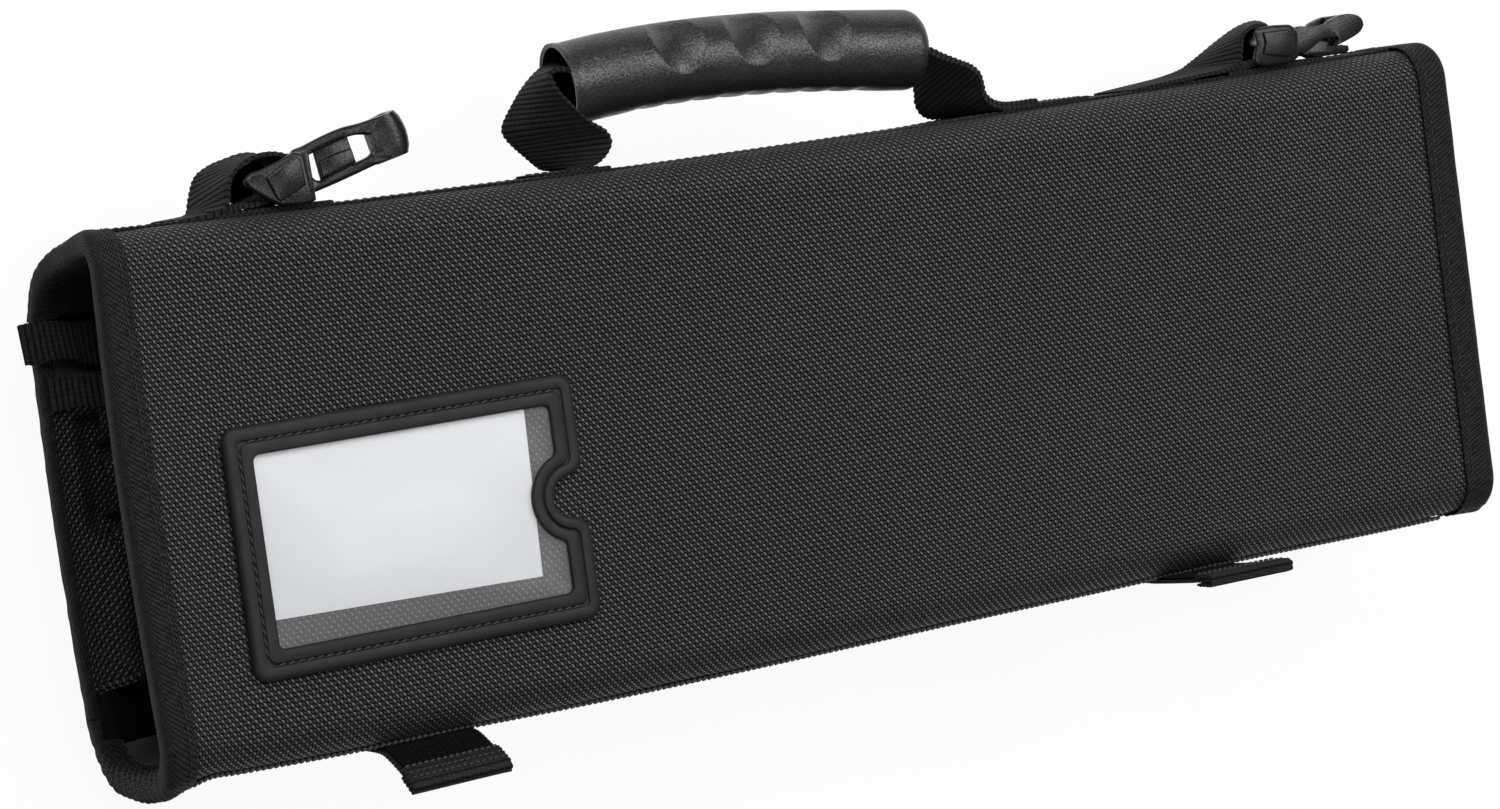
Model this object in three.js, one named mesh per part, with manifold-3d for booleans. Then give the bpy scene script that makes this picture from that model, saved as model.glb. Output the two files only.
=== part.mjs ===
import * as THREE from "three";
import { mergeVertices } from "three/addons/utils/BufferGeometryUtils.js";
import Module from "manifold-3d";

// Axes: X runs along the case, Y towards the handle, Z towards the name window. Millimetres.

// Driving dimensions of the case
const LENGTH = 490;
const HEIGHT = 160;
const DEPTH = 60;
const COVER = 1.0;
const BOARD = 2.6;
const LINING = 0.8;
const GAP = 0.3;
const R_FRONT_TOP = 12;
const R_FRONT_BOTTOM = 12;
const R_BACK_TOP = 24;
const R_BACK_BOTTOM = 15;
const TAPE = 0.9;
const TAPE_WIDTH = 11;

// Driving dimensions of the webbing and straps
const WEBBING = 1.7;
const TOP_WEB_WIDTH = 25;
const STRAP_WIDTH = 32;
const STRAP_LEFT_FROM_END = 89.5;
const STRAP_RIGHT_FROM_END = 119;
const LOOP_LEFT_FROM_END = 75;
const LOOP_RIGHT_FROM_END = 57.5;
const LOOP_RADIUS = 5.2;
const LOOP_TAPE = 1.1;
const HOOK_TAPE = 1.2;
const HOOK_TAPE_WIDTH = 28;

// Driving dimensions of the grip
const GRIP_RADIUS = 13;
const GRIP_LENGTH = 127;
const GRIP_LEFT_X = -72;
const GRIP_LIFT = 26;
const GRIP_WEB_WIDTH = 20;

// Driving dimensions of the name window
const FRAME_LENGTH = 113.5;
const FRAME_HEIGHT = 74;
const FRAME_FROM_END = 34.5;
const FRAME_FROM_TOP = 62.4;
const CARD_LENGTH = 89;
const CARD_HEIGHT = 51;

// Driving dimensions of the blade sleeves
const SLEEVES = 4;
const SLEEVE_HEIGHT = 9;
const KEEPER_WIDTH = 13;

// Driving dimensions of the long pocket behind the front panel
const POCKET_LENGTH = 291.5;
const POCKET_HEIGHT = 49;
const POCKET_DEEP = 19;
const POCKET_FROM_BOTTOM = 22;

// Values worked out from the dimensions above
const HALF = LENGTH / 2;
const TOP = HEIGHT / 2;
const BOTTOM = -HEIGHT / 2;
const BOARD_OUT = COVER + GAP;
const BOARD_IN = BOARD_OUT + BOARD;
const LINING_OUT = BOARD_IN + GAP;
const WALL = LINING_OUT + LINING;
const LIP = GAP + TAPE;
const BETWEEN_TAPES = HALF - TAPE_WIDTH - 0.5;
const STRAP_LEFT_X = STRAP_LEFT_FROM_END - HALF;
const STRAP_RIGHT_X = HALF - STRAP_RIGHT_FROM_END;
const FRAME_LEFT_X = FRAME_FROM_END - HALF;
const FRAME_TOP_Y = TOP - FRAME_FROM_TOP;
const GRIP_RIGHT_X = GRIP_LEFT_X + GRIP_LENGTH;
const TOP_WEB_Z = DEPTH - R_FRONT_TOP - TOP_WEB_WIDTH / 2;
const LID_TOP_Y = TOP - R_BACK_TOP - 1.6;
const LID_LOW_Y = BOTTOM + R_BACK_BOTTOM + 2.5;

const wasm = await Module();
wasm.setup();

function toSolid(geometry) {
  const bare = geometry.index ? geometry.toNonIndexed() : geometry.clone();
  bare.deleteAttribute("normal");
  bare.deleteAttribute("uv");
  const welded = mergeVertices(bare, 1e-4);
  const mesh = new wasm.Mesh({
    numProp: 3,
    vertProperties: new Float32Array(welded.attributes.position.array),
    triVerts: new Uint32Array(welded.index.array),
  });
  return new wasm.Manifold(mesh);
}

function toGeometry(solid) {
  const mesh = solid.getMesh();
  const geometry = new THREE.BufferGeometry();
  const positions = new THREE.BufferAttribute(new Float32Array(mesh.vertProperties), 3);
  geometry.setAttribute("position", positions);
  geometry.setIndex(new THREE.BufferAttribute(new Uint32Array(mesh.triVerts), 1));
  const flat = geometry.toNonIndexed();
  flat.computeVertexNormals();
  return flat;
}

function joined(list) {
  return list.reduce((whole, piece) => whole.add(piece));
}

function box(x0, x1, y0, y1, z0, z1) {
  const geometry = new THREE.BoxGeometry(x1 - x0, y1 - y0, z1 - z0);
  geometry.translate((x0 + x1) / 2, (y0 + y1) / 2, (z0 + z1) / 2);
  return toSolid(geometry);
}

function shapeOf(points) {
  return new THREE.Shape(points.map(([a, b]) => new THREE.Vector2(a, b)));
}

function extrude(shape, length, matrix) {
  const settings = { depth: length, bevelEnabled: false, curveSegments: 6 };
  const geometry = new THREE.ExtrudeGeometry(shape, settings);
  geometry.applyMatrix4(matrix);
  return toSolid(geometry);
}

// A flat outline in Y and Z pulled out along X
function alongX(points, x0, x1) {
  const turn = new THREE.Matrix4().makeBasis(
    new THREE.Vector3(0, 1, 0),
    new THREE.Vector3(0, 0, 1),
    new THREE.Vector3(1, 0, 0),
  );
  turn.setPosition(x0, 0, 0);
  return extrude(shapeOf(points), x1 - x0, turn);
}

// A flat outline in X and Y pulled out along Z
function alongZ(points, z0, z1) {
  return extrude(shapeOf(points), z1 - z0, new THREE.Matrix4().makeTranslation(0, 0, z0));
}

function arc(cx, cy, radius, from, to, steps = 7) {
  const points = [];
  for (let i = 0; i <= steps; i += 1) {
    const angle = THREE.MathUtils.degToRad(from + ((to - from) * i) / steps);
    points.push([cx + radius * Math.cos(angle), cy + radius * Math.sin(angle)]);
  }
  return points;
}

function roundedRect(x0, x1, y0, y1, radius) {
  return [
    ...arc(x1 - radius, y0 + radius, radius, -90, 0, 4),
    ...arc(x1 - radius, y1 - radius, radius, 0, 90, 4),
    ...arc(x0 + radius, y1 - radius, radius, 90, 180, 4),
    ...arc(x0 + radius, y0 + radius, radius, 180, 270, 4),
  ];
}

// A strip of even thickness laid along a smooth line through the given points
function band(points, thickness, steps = 18, smooth = true) {
  const vectors = points.map(([a, b]) => new THREE.Vector3(a, b, 0));
  let line = vectors;
  if (smooth) {
    line = new THREE.CatmullRomCurve3(vectors, false, "centripetal").getPoints(steps);
  }
  const left = [];
  const right = [];
  line.forEach((point, i) => {
    const before = line[Math.max(i - 1, 0)];
    const after = line[Math.min(i + 1, line.length - 1)];
    const run = after.clone().sub(before).normalize();
    const half = thickness / 2;
    left.push([point.x - run.y * half, point.y + run.x * half]);
    right.push([point.x + run.y * half, point.y - run.x * half]);
  });
  return [...right, ...left.reverse()];
}

// The wall of the tray seen from its end, at a given depth below the outer face
function trayLine(inset) {
  return [
    ...arc(TOP - R_BACK_TOP, R_BACK_TOP, R_BACK_TOP - inset, -90, 0, 8),
    ...arc(TOP - R_FRONT_TOP, DEPTH - R_FRONT_TOP, R_FRONT_TOP - inset, 0, 90, 6),
    ...arc(BOTTOM + R_FRONT_BOTTOM, DEPTH - R_FRONT_BOTTOM, R_FRONT_BOTTOM - inset, 90, 180, 6),
    ...arc(BOTTOM + R_BACK_BOTTOM, R_BACK_BOTTOM, R_BACK_BOTTOM - inset, 180, 270, 7),
  ];
}

function trayWall(outer, inner, x0, x1) {
  return alongX([...trayLine(outer), ...trayLine(inner).reverse()], x0, x1);
}

const part = new THREE.Group();
part.name = "hard_knife_case";

const FINISH = {
  cover: { color: 0x1d1d1f, roughness: 0.92, metalness: 0 },
  tape: { color: 0x151517, roughness: 0.88, metalness: 0 },
  webbing: { color: 0x121214, roughness: 0.9, metalness: 0 },
  lining: { color: 0x24262c, roughness: 0.8, metalness: 0 },
  board: { color: 0x4a4a4c, roughness: 0.7, metalness: 0 },
  plastic: { color: 0x2b2b2d, roughness: 0.5, metalness: 0 },
  frame: { color: 0x303032, roughness: 0.6, metalness: 0 },
  card: { color: 0xdddfe2, roughness: 0.7, metalness: 0 },
  film: { color: 0x8d8f92, roughness: 0.2, metalness: 0, transparent: true, opacity: 0.35 },
  fuzzy: { color: 0x0c0c0d, roughness: 1, metalness: 0 },
};

function add(name, solid, finish) {
  const mesh = new THREE.Mesh(toGeometry(solid), new THREE.MeshStandardMaterial(FINISH[finish]));
  mesh.name = name;
  part.add(mesh);
}

// Tray: front panel, spine and bottom wall in one bent shell
add("tray_cover", trayWall(0, COVER, -HALF, HALF), "cover");
add("tray_lining", trayWall(LINING_OUT, WALL, 1 - HALF, HALF - 1), "lining");

const boards = trayWall(BOARD_OUT, BOARD_IN, 1 - HALF, HALF - 1);
const foldTop = TOP - R_FRONT_TOP;
const foldBottom = BOTTOM + R_FRONT_BOTTOM;
const nearFront = DEPTH - WALL - 4;
add(
  "front_board",
  boards.intersect(box(-HALF, HALF, foldBottom + 0.8, foldTop - 0.8, nearFront, DEPTH)),
  "board",
);
add(
  "spine_board",
  boards
    .intersect(box(-HALF, HALF, 0, TOP, 0, DEPTH))
    .subtract(box(-HALF, HALF, 0, foldTop + 0.8, nearFront, DEPTH)),
  "board",
);
add(
  "bottom_board",
  boards
    .intersect(box(-HALF, HALF, BOTTOM, 0, 0, DEPTH))
    .subtract(box(-HALF, HALF, foldBottom - 0.8, 0, nearFront, DEPTH)),
  "board",
);

function endTape(side) {
  const outerEnd = HALF + GAP + TAPE + 0.3;
  const innerEnd = HALF - TAPE_WIDTH;
  const whole = trayWall(-LIP, WALL + LIP, innerEnd, outerEnd);
  const pocket = trayWall(-GAP, WALL + GAP, innerEnd - 0.1, HALF + GAP);
  const tape = whole.subtract(pocket);
  return side > 0 ? tape : tape.mirror([1, 0, 0]);
}
add("tray_binding_left", endTape(-1), "tape");
add("tray_binding_right", endTape(1), "tape");

// Webbing along the spine, with the loops for the two snap hooks
const webLow = TOP + GAP;
const webHigh = webLow + WEBBING;
const padLow = webHigh + GAP;
const padHigh = padLow + WEBBING;
const webZ0 = TOP_WEB_Z - TOP_WEB_WIDTH / 2;
const webZ1 = TOP_WEB_Z + TOP_WEB_WIDTH / 2;
add(
  "spine_webbing",
  box(-BETWEEN_TAPES, BETWEEN_TAPES, webLow, webHigh, webZ0, webZ1),
  "webbing",
);

const BAR_LEFT = [LOOP_LEFT_FROM_END - HALF, webHigh + LOOP_RADIUS + 2.3];
const BAR_RIGHT = [HALF - LOOP_RIGHT_FROM_END, webHigh + LOOP_RADIUS + 2];

// A loop of webbing sewn down at its foot, round at the end that carries the hook bar
function webLoop(bar, back, foot) {
  const [bx, by] = bar;
  const outer = [
    [foot, padLow],
    ...back,
    ...arc(bx, by, LOOP_RADIUS, 95, -95, 10),
    [bx - 9, padLow + 0.6],
    [bx - 12, padLow],
  ];
  const line = outer.map(([a, b]) => new THREE.Vector2(a, b));
  const middle = new THREE.Vector2(bx - 6, by - 0.4);
  const shell = alongZ(outer, webZ0, webZ1);
  const inner = [];
  line.forEach((point, i) => {
    const before = line[(i + line.length - 1) % line.length];
    const after = line[(i + 1) % line.length];
    const in1 = point.clone().sub(before).normalize();
    const out1 = after.clone().sub(point).normalize();
    const run = in1.add(out1).normalize();
    const side = new THREE.Vector2(-run.y, run.x);
    if (side.dot(middle.clone().sub(point)) < 0) side.negate();
    inner.push([point.x + side.x * WEBBING * 1.08, point.y + side.y * WEBBING * 1.08]);
  });
  return shell.subtract(alongZ(inner, webZ0 - 1, webZ1 + 1));
}
const backLeft = [
  [BAR_LEFT[0] - 30.5, webHigh + 5],
  [BAR_LEFT[0] - 27.5, BAR_LEFT[1] + 2],
  [BAR_LEFT[0] - 21, BAR_LEFT[1] + 4.7],
  [BAR_LEFT[0] - 11, BAR_LEFT[1] + 5.5],
];
const backRight = [
  [BAR_RIGHT[0] - 29.5, padLow + 3],
  [BAR_RIGHT[0] - 17.5, padLow + 7.6],
  [BAR_RIGHT[0] - 8.5, BAR_RIGHT[1] + 3.9],
];
add("hook_loop_left", webLoop(BAR_LEFT, backLeft, BAR_LEFT[0] - 31), "webbing");
add("hook_loop_right", webLoop(BAR_RIGHT, backRight, BAR_RIGHT[0] - 38.5), "webbing");

// Snap hooks, drawn with U along the hook, V across it and W through it
function hookMatrix(bar, degrees, flat) {
  const angle = THREE.MathUtils.degToRad(degrees);
  const u = new THREE.Vector3(Math.cos(angle), Math.sin(angle), 0);
  const up = new THREE.Vector3(-Math.sin(angle), Math.cos(angle), 0);
  const z = new THREE.Vector3(0, 0, 1);
  const matrix = new THREE.Matrix4();
  if (flat) {
    matrix.makeBasis(u, up, z);
  } else {
    matrix.makeBasis(u, z.clone().negate(), up);
  }
  matrix.setPosition(bar[0], bar[1], TOP_WEB_Z);
  return matrix;
}

function placed(geometry, matrix) {
  const moved = geometry.clone();
  moved.applyMatrix4(matrix);
  return toSolid(moved);
}

function block(u0, u1, v0, v1, w0, w1) {
  const geometry = new THREE.BoxGeometry(u1 - u0, v1 - v0, w1 - w0);
  geometry.translate((u0 + u1) / 2, (v0 + v1) / 2, (w0 + w1) / 2);
  return geometry;
}

// An outline in U and W pulled out across V
function acrossV(points, v0, v1) {
  const settings = { depth: v1 - v0, bevelEnabled: false };
  const geometry = new THREE.ExtrudeGeometry(shapeOf(points), settings);
  const turn = new THREE.Matrix4().makeBasis(
    new THREE.Vector3(1, 0, 0),
    new THREE.Vector3(0, 0, 1),
    new THREE.Vector3(0, -1, 0),
  );
  turn.setPosition(0, v1, 0);
  geometry.applyMatrix4(turn);
  return geometry;
}

const HOOK_LENGTH = 41;
const HOOK_PLATE = 3;
const ARM = TOP_WEB_WIDTH / 2 + 1.2;

function snapHook(bar, degrees, flat, curl) {
  const m = hookMatrix(bar, degrees, flat);
  const half = 6.4;
  const barGeometry = new THREE.CylinderGeometry(2, 2, 2 * ARM + 4, 12);
  if (flat) barGeometry.rotateX(Math.PI / 2);
  const across = (u0, u1, t, a, b) =>
    flat ? block(u0, u1, -t, t, a, b) : block(u0, u1, a, b, -t, t);
  const top = HOOK_PLATE / 2;
  const cu = HOOK_LENGTH - curl;
  const cw = top - curl;
  const outline = [
    [9, -top],
    ...arc(cu, cw, curl - HOOK_PLATE, 90, -100, 8),
    ...arc(cu, cw, curl, -100, 90, 10),
    [9, top],
  ];
  const plate = placed(acrossV(outline, -half, half), m);
  const slot = placed(block(15, cu - 0.5, -3.1, 3.1, -top - 2, top + 2), m);
  return joined([
    placed(barGeometry, m),
    placed(across(-2.6, 7, 2.6, ARM, ARM + 2.6), m),
    placed(across(-2.6, 7, 2.6, -ARM - 2.6, -ARM), m),
    placed(across(5.9, 12, 4.6, -ARM - 2.6, ARM + 2.6), m),
    plate.subtract(slot),
  ]);
}

// The springy tongue that closes the mouth of the hook
function hookGate(bar, degrees, flat, curl) {
  const m = hookMatrix(bar, degrees, flat);
  const cu = HOOK_LENGTH - curl;
  const low = HOOK_PLATE / 2 - 2 * curl + HOOK_PLATE + 1.7;
  const line = [
    [12.4, -3.2],
    [18, -3.4],
    [cu - 1.4, low],
  ];
  return placed(acrossV(band(line, 1.2, 6), -2.5, 2.5), m);
}

const HOOK_LEFT = [BAR_LEFT, 12, true, 6];
const HOOK_RIGHT = [BAR_RIGHT, 3, false, 4.4];
add("snap_hook_left", snapHook(...HOOK_LEFT), "plastic");
add("snap_hook_right", snapHook(...HOOK_RIGHT), "plastic");
add("hook_gate_left", hookGate(...HOOK_LEFT), "plastic");
add("hook_gate_right", hookGate(...HOOK_RIGHT), "plastic");

// Carrying handle: a moulded grip threaded on webbing
const gripY = TOP + GRIP_LIFT;
const gripLine = [
  new THREE.Vector3(GRIP_LEFT_X, gripY - 0.2, TOP_WEB_Z),
  new THREE.Vector3(GRIP_LEFT_X + 30, gripY + 1.2, TOP_WEB_Z),
  new THREE.Vector3((GRIP_LEFT_X + GRIP_RIGHT_X) / 2, gripY + 0.6, TOP_WEB_Z),
  new THREE.Vector3(GRIP_RIGHT_X - 30, gripY - 1.8, TOP_WEB_Z),
  new THREE.Vector3(GRIP_RIGHT_X, gripY - 4.8, TOP_WEB_Z),
];
function sweep(shape, points, steps) {
  const path = new THREE.CatmullRomCurve3(points, false, "centripetal");
  const settings = { steps, bevelEnabled: false, extrudePath: path, curveSegments: 5 };
  return toSolid(new THREE.ExtrudeGeometry(shape, settings));
}
const grip = sweep(shapeOf(arc(0, 0, GRIP_RADIUS, 0, 342, 19)), gripLine, 14);
const boreHalf = GRIP_WEB_WIDTH / 2 + 0.6;
const boreTall = 3.4;
const boreLine = (offset) => {
  const curve = new THREE.CatmullRomCurve3(gripLine, false, "centripetal");
  return curve.getPoints(14).map((p) => [p.x, p.y + offset]);
};
const boreShape = [
  [GRIP_LEFT_X - 4, gripLine[0].y - boreTall],
  ...boreLine(-boreTall),
  [GRIP_RIGHT_X + 4, gripLine[4].y - boreTall],
  [GRIP_RIGHT_X + 4, gripLine[4].y + boreTall],
  ...boreLine(boreTall).reverse(),
  [GRIP_LEFT_X - 4, gripLine[0].y + boreTall],
];
const bore = alongZ(boreShape, TOP_WEB_Z - boreHalf, TOP_WEB_Z + boreHalf);
add("handle_grip", grip.subtract(bore), "plastic");

// Webbing narrows to its root so that the handle can lean either way
const PIVOT_Y = padHigh + GAP;
function pinched(points) {
  const strip = alongZ(
    band(points, WEBBING, 20),
    TOP_WEB_Z - GRIP_WEB_WIDTH / 2,
    TOP_WEB_Z + GRIP_WEB_WIDTH / 2,
  );
  const slope = 0.82;
  const high = 40;
  const keep = [
    [PIVOT_Y, TOP_WEB_Z - 0.3],
    [PIVOT_Y + high, TOP_WEB_Z - 0.3 - slope * high],
    [PIVOT_Y + high, TOP_WEB_Z + 0.3 + slope * high],
    [PIVOT_Y, TOP_WEB_Z + 0.3],
  ];
  return strip.intersect(alongX(keep, -HALF, HALF));
}
const webLeft = [
  [GRIP_LEFT_X - 8, PIVOT_Y + 0.4],
  [GRIP_LEFT_X - 14.5, PIVOT_Y + 3.2],
  [GRIP_LEFT_X - 19.5, (PIVOT_Y + gripY) / 2 - 2.7],
  [GRIP_LEFT_X - 20, gripY - 8],
  [GRIP_LEFT_X - 14, gripY - 2.4],
  [GRIP_LEFT_X - 4, gripY - 0.4],
  [GRIP_LEFT_X + 9, gripY + 0.3],
];
const webRight = [
  [GRIP_RIGHT_X - 9, gripY - 3.7],
  [GRIP_RIGHT_X + 4, gripY - 5.4],
  [GRIP_RIGHT_X + 15, gripY - 8.4],
  [GRIP_RIGHT_X + 24, (PIVOT_Y + gripY) / 2 - 2.8],
  [GRIP_RIGHT_X + 29.5, PIVOT_Y + 0.4],
];
const footLeftX = GRIP_LEFT_X - 10;
const footRightX = GRIP_RIGHT_X + 27;
add("handle_webbing_left", pinched(webLeft), "webbing");
add("handle_webbing_right", pinched(webRight), "webbing");
add(
  "handle_foot_left",
  box(footLeftX, footLeftX + 28, padLow, padHigh, webZ0, webZ1),
  "webbing",
);
add(
  "handle_foot_right",
  box(footRightX, footRightX + 28, padLow, padHigh, webZ0, webZ1),
  "webbing",
);

// Name window on the front panel
const frameRight = FRAME_LEFT_X + FRAME_LENGTH;
const frameLow = FRAME_TOP_Y - FRAME_HEIGHT;
const frameZ0 = DEPTH + GAP;
const frameZ1 = frameZ0 + 2.5;
const filmZ0 = frameZ0 + 1.0;
const filmZ1 = filmZ0 + 0.4;
const windowBox = [FRAME_LEFT_X + 8.5, frameRight - 9.5, frameLow + 10, FRAME_TOP_Y - 8.9];
const notchY = frameLow + FRAME_HEIGHT * 0.515;
const slabOf = (inset, radius, z0, z1) =>
  alongZ(
    roundedRect(
      FRAME_LEFT_X + inset,
      frameRight - inset,
      frameLow + inset,
      FRAME_TOP_Y - inset,
      radius,
    ),
    z0,
    z1,
  );
const discOf = (x, radius, z0, z1) => alongZ(arc(x, notchY, radius, 0, 345, 23), z0, z1);
const windowCut = alongZ(roundedRect(...windowBox, 3), frameZ0 - 1, frameZ1 + 1).subtract(
  discOf(frameRight - 2.4, 15.2, frameZ0 - 2, frameZ1 + 2),
);
const groove = slabOf(4, 3, frameZ1 - 0.6, frameZ1 + 1).subtract(
  slabOf(6, 2, frameZ1 - 1, frameZ1 + 2),
);
const filmRoom = box(
  windowBox[0] - 2.3,
  windowBox[1] + 2.3,
  windowBox[2] - 1.6,
  windowBox[3] + 2.3,
  filmZ0 - 0.1,
  filmZ1,
);
const notchCut = discOf(frameRight + 1.2, 11.2, frameZ0 - 1, frameZ1 + 1);
const cardRoom = box(
  windowBox[0] - 2.3,
  frameRight + 1,
  windowBox[2] - 1.6,
  windowBox[3] + 2.3,
  frameZ0 - 1,
  filmZ0,
);
const idFrame = slabOf(0, 5, frameZ0, frameZ1)
  .subtract(windowCut)
  .subtract(groove)
  .subtract(notchCut)
  .subtract(filmRoom)
  .subtract(cardRoom);
add("id_frame", idFrame, "frame");
const film = box(
  windowBox[0] - 2,
  windowBox[1] + 2,
  windowBox[2] - 1.3,
  windowBox[3] + 2,
  filmZ0,
  filmZ1,
);
add("id_window", film.subtract(notchCut), "film");
const cardX = windowBox[0] - 1;
const cardTop = windowBox[3] + 1.1;
add(
  "id_card",
  box(cardX, cardX + CARD_LENGTH, cardTop - CARD_HEIGHT, cardTop, DEPTH + 0.6, DEPTH + 1.0),
  "card",
);

// Loop tape along the bottom wall and the dust lip behind the lid edge
const bottomZ0 = R_BACK_BOTTOM + 5;
const bottomZ1 = DEPTH - R_FRONT_BOTTOM;
const loopLow = BOTTOM - GAP - LOOP_TAPE;
add(
  "bottom_loop_tape",
  box(-BETWEEN_TAPES, BETWEEN_TAPES, loopLow, BOTTOM - GAP, bottomZ0, bottomZ1),
  "fuzzy",
);
add(
  "dust_lip",
  box(2 - BETWEEN_TAPES, BETWEEN_TAPES - 2, BOTTOM + 10.3, LID_LOW_Y + 7, WALL + 1.5, WALL + 2.5),
  "cover",
);
const hingeTape = trayWall(-LIP, -GAP, -BETWEEN_TAPES, BETWEEN_TAPES).intersect(
  box(-HALF, HALF, TOP - R_BACK_TOP, TOP, -5, 5),
);
add("hinge_tape_spine", hingeTape, "tape");

// Long pocket on the inside of the front panel, open at the left end
const pocketHigh = DEPTH - WALL - GAP;
const pocketY0 = BOTTOM + POCKET_FROM_BOTTOM;
const pocketY1 = pocketY0 + POCKET_HEIGHT;
const pocketZ = pocketHigh - POCKET_DEEP;
const pocketX0 = 2 - BETWEEN_TAPES;
const pocketX1 = pocketX0 + POCKET_LENGTH;
const pocketOutline = [
  [pocketY0 - 6, pocketHigh - 1],
  [pocketY0, pocketHigh - 1],
  [pocketY0, pocketZ],
  [pocketY1, pocketZ],
  [pocketY1, pocketHigh - 1],
  [pocketY1 + 6, pocketHigh - 1],
  [pocketY1 + 6, pocketHigh],
  [pocketY1 - 1, pocketHigh],
  [pocketY1 - 1, pocketZ + 1],
  [pocketY0 + 1, pocketZ + 1],
  [pocketY0 + 1, pocketHigh],
  [pocketY0 - 6, pocketHigh],
];
const pocketEnd = box(pocketX1 - 1, pocketX1, pocketY0, pocketY1, pocketZ, pocketHigh);
add("tray_pocket", joined([alongX(pocketOutline, pocketX0, pocketX1), pocketEnd]), "cover");

// Back lid: one flat padded panel hinged along the spine
add("lid_cover", box(-HALF, HALF, LID_LOW_Y, LID_TOP_Y, 0, COVER), "cover");
add(
  "lid_board",
  box(1 - HALF, HALF - 1, LID_LOW_Y + 1, LID_TOP_Y - 1, BOARD_OUT, BOARD_IN),
  "board",
);
add(
  "lid_lining",
  box(1 - HALF, HALF - 1, LID_LOW_Y + 1, LID_TOP_Y, LINING_OUT, WALL),
  "lining",
);

function lidEndTape(side) {
  const outerEnd = HALF + GAP + TAPE + 0.3;
  const low = LID_LOW_Y - LIP;
  const whole = box(HALF - TAPE_WIDTH, outerEnd, low, LID_TOP_Y, -LIP, WALL + LIP);
  const inside = box(HALF - TAPE_WIDTH - 1, HALF + GAP, low - 1, LID_TOP_Y + 1, -GAP, WALL + GAP);
  const tape = whole.subtract(inside);
  return side > 0 ? tape : tape.mirror([1, 0, 0]);
}
add("lid_binding_left", lidEndTape(-1), "tape");
add("lid_binding_right", lidEndTape(1), "tape");

const edgeTape = [
  [LID_LOW_Y - LIP, 0],
  [LID_LOW_Y - GAP, 0],
  [LID_LOW_Y - GAP, WALL + GAP],
  [LID_LOW_Y + TAPE_WIDTH, WALL + GAP],
  [LID_LOW_Y + TAPE_WIDTH, WALL + LIP],
  [LID_LOW_Y - LIP, WALL + LIP],
];
add("lid_edge_tape", alongX(edgeTape, -BETWEEN_TAPES, BETWEEN_TAPES), "tape");
const lidHingeLow = LID_TOP_Y - 12.4;
add(
  "hinge_tape_lid",
  box(-BETWEEN_TAPES, BETWEEN_TAPES, lidHingeLow, LID_TOP_Y + 0.4, -LIP, -GAP),
  "tape",
);

// Blade sleeves: one sheet sewn down between rows so that it stands up as tunnels
const sleeveBase = WALL + GAP;
const sleeveTop = sleeveBase + SLEEVE_HEIGHT;
const sleeveStart = LID_LOW_Y + TAPE_WIDTH + 4;
const sleeveEnd = LID_TOP_Y - 2 - KEEPER_WIDTH - 0.9;
const sleevePitch = (sleeveEnd - sleeveStart) / SLEEVES;
const CLOTH = 1.0;
const upper = [[sleeveStart - 3, sleeveBase + CLOTH]];
const lower = [[sleeveStart - 3, sleeveBase]];
for (let i = 0; i < SLEEVES; i += 1) {
  const a = sleeveStart + i * sleevePitch;
  const b = a + sleevePitch - 3;
  upper.push([a, sleeveBase + CLOTH], [a + 2, sleeveTop], [b - 2, sleeveTop]);
  upper.push([b, sleeveBase + CLOTH]);
  lower.push([a + 1, sleeveBase], [a + 3, sleeveTop - CLOTH], [b - 3, sleeveTop - CLOTH]);
  lower.push([b - 1, sleeveBase]);
}
upper.push([sleeveEnd, sleeveBase + CLOTH]);
lower.push([sleeveEnd, sleeveBase]);
add(
  "blade_sleeves",
  alongX([...lower, ...upper.reverse()], 2 - BETWEEN_TAPES, BETWEEN_TAPES - 2),
  "cover",
);
add(
  "keeper_webbing",
  box(-HALF - 7, 78 - HALF, LID_TOP_Y - 2 - KEEPER_WIDTH, LID_TOP_Y - 2, WALL + 1.5, WALL + 3),
  "webbing",
);

// Closure straps: sewn across the back of the lid, then round the bottom edge
const strapMiddle = -GAP - WEBBING / 2;
const strapStart = LID_LOW_Y + 1.2;
function anchor(x) {
  const half = STRAP_WIDTH / 2;
  return box(x - half, x + half, strapStart, lidHingeLow - GAP, -GAP - WEBBING, -GAP);
}
add("strap_anchor_left", anchor(STRAP_LEFT_X), "webbing");
add("strap_anchor_right", anchor(STRAP_RIGHT_X), "webbing");

const hookTapeHigh = loopLow - GAP;
const hookTapeLow = hookTapeHigh - HOOK_TAPE;
const strapRun = hookTapeLow - GAP - WEBBING / 2;
const cornerY = BOTTOM + R_BACK_BOTTOM;
const strapBend = [
  [strapStart - GAP, strapMiddle],
  [cornerY, strapMiddle],
  ...arc(cornerY, R_BACK_BOTTOM, R_BACK_BOTTOM + 1.2, 265, 200, 5),
  [strapRun + 0.4, R_BACK_BOTTOM + 1],
  [strapRun, R_BACK_BOTTOM + 5],
  [strapRun, bottomZ1 + 1],
];
const tabLeft = [
  [strapRun - 0.6, bottomZ1 + 5],
  [strapRun - 3.6, bottomZ1 + 12],
  [strapRun - 7.6, bottomZ1 + 18],
  [strapRun - 11.5, bottomZ1 + 23],
];
const tabRight = [
  [strapRun + 0.2, bottomZ1 + 6],
  [strapRun + 0.6, bottomZ1 + 14],
  [strapRun + 1.2, bottomZ1 + 24],
  [strapRun + 2.0, bottomZ1 + 35],
];
function strap(x, tab) {
  const half = STRAP_WIDTH / 2;
  const outline = band([...strapBend, ...tab], WEBBING, 0, false);
  return alongX(outline, x - half, x + half);
}
add("closure_strap_left", strap(STRAP_LEFT_X, tabLeft), "webbing");
add("closure_strap_right", strap(STRAP_RIGHT_X, tabRight), "webbing");

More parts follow.
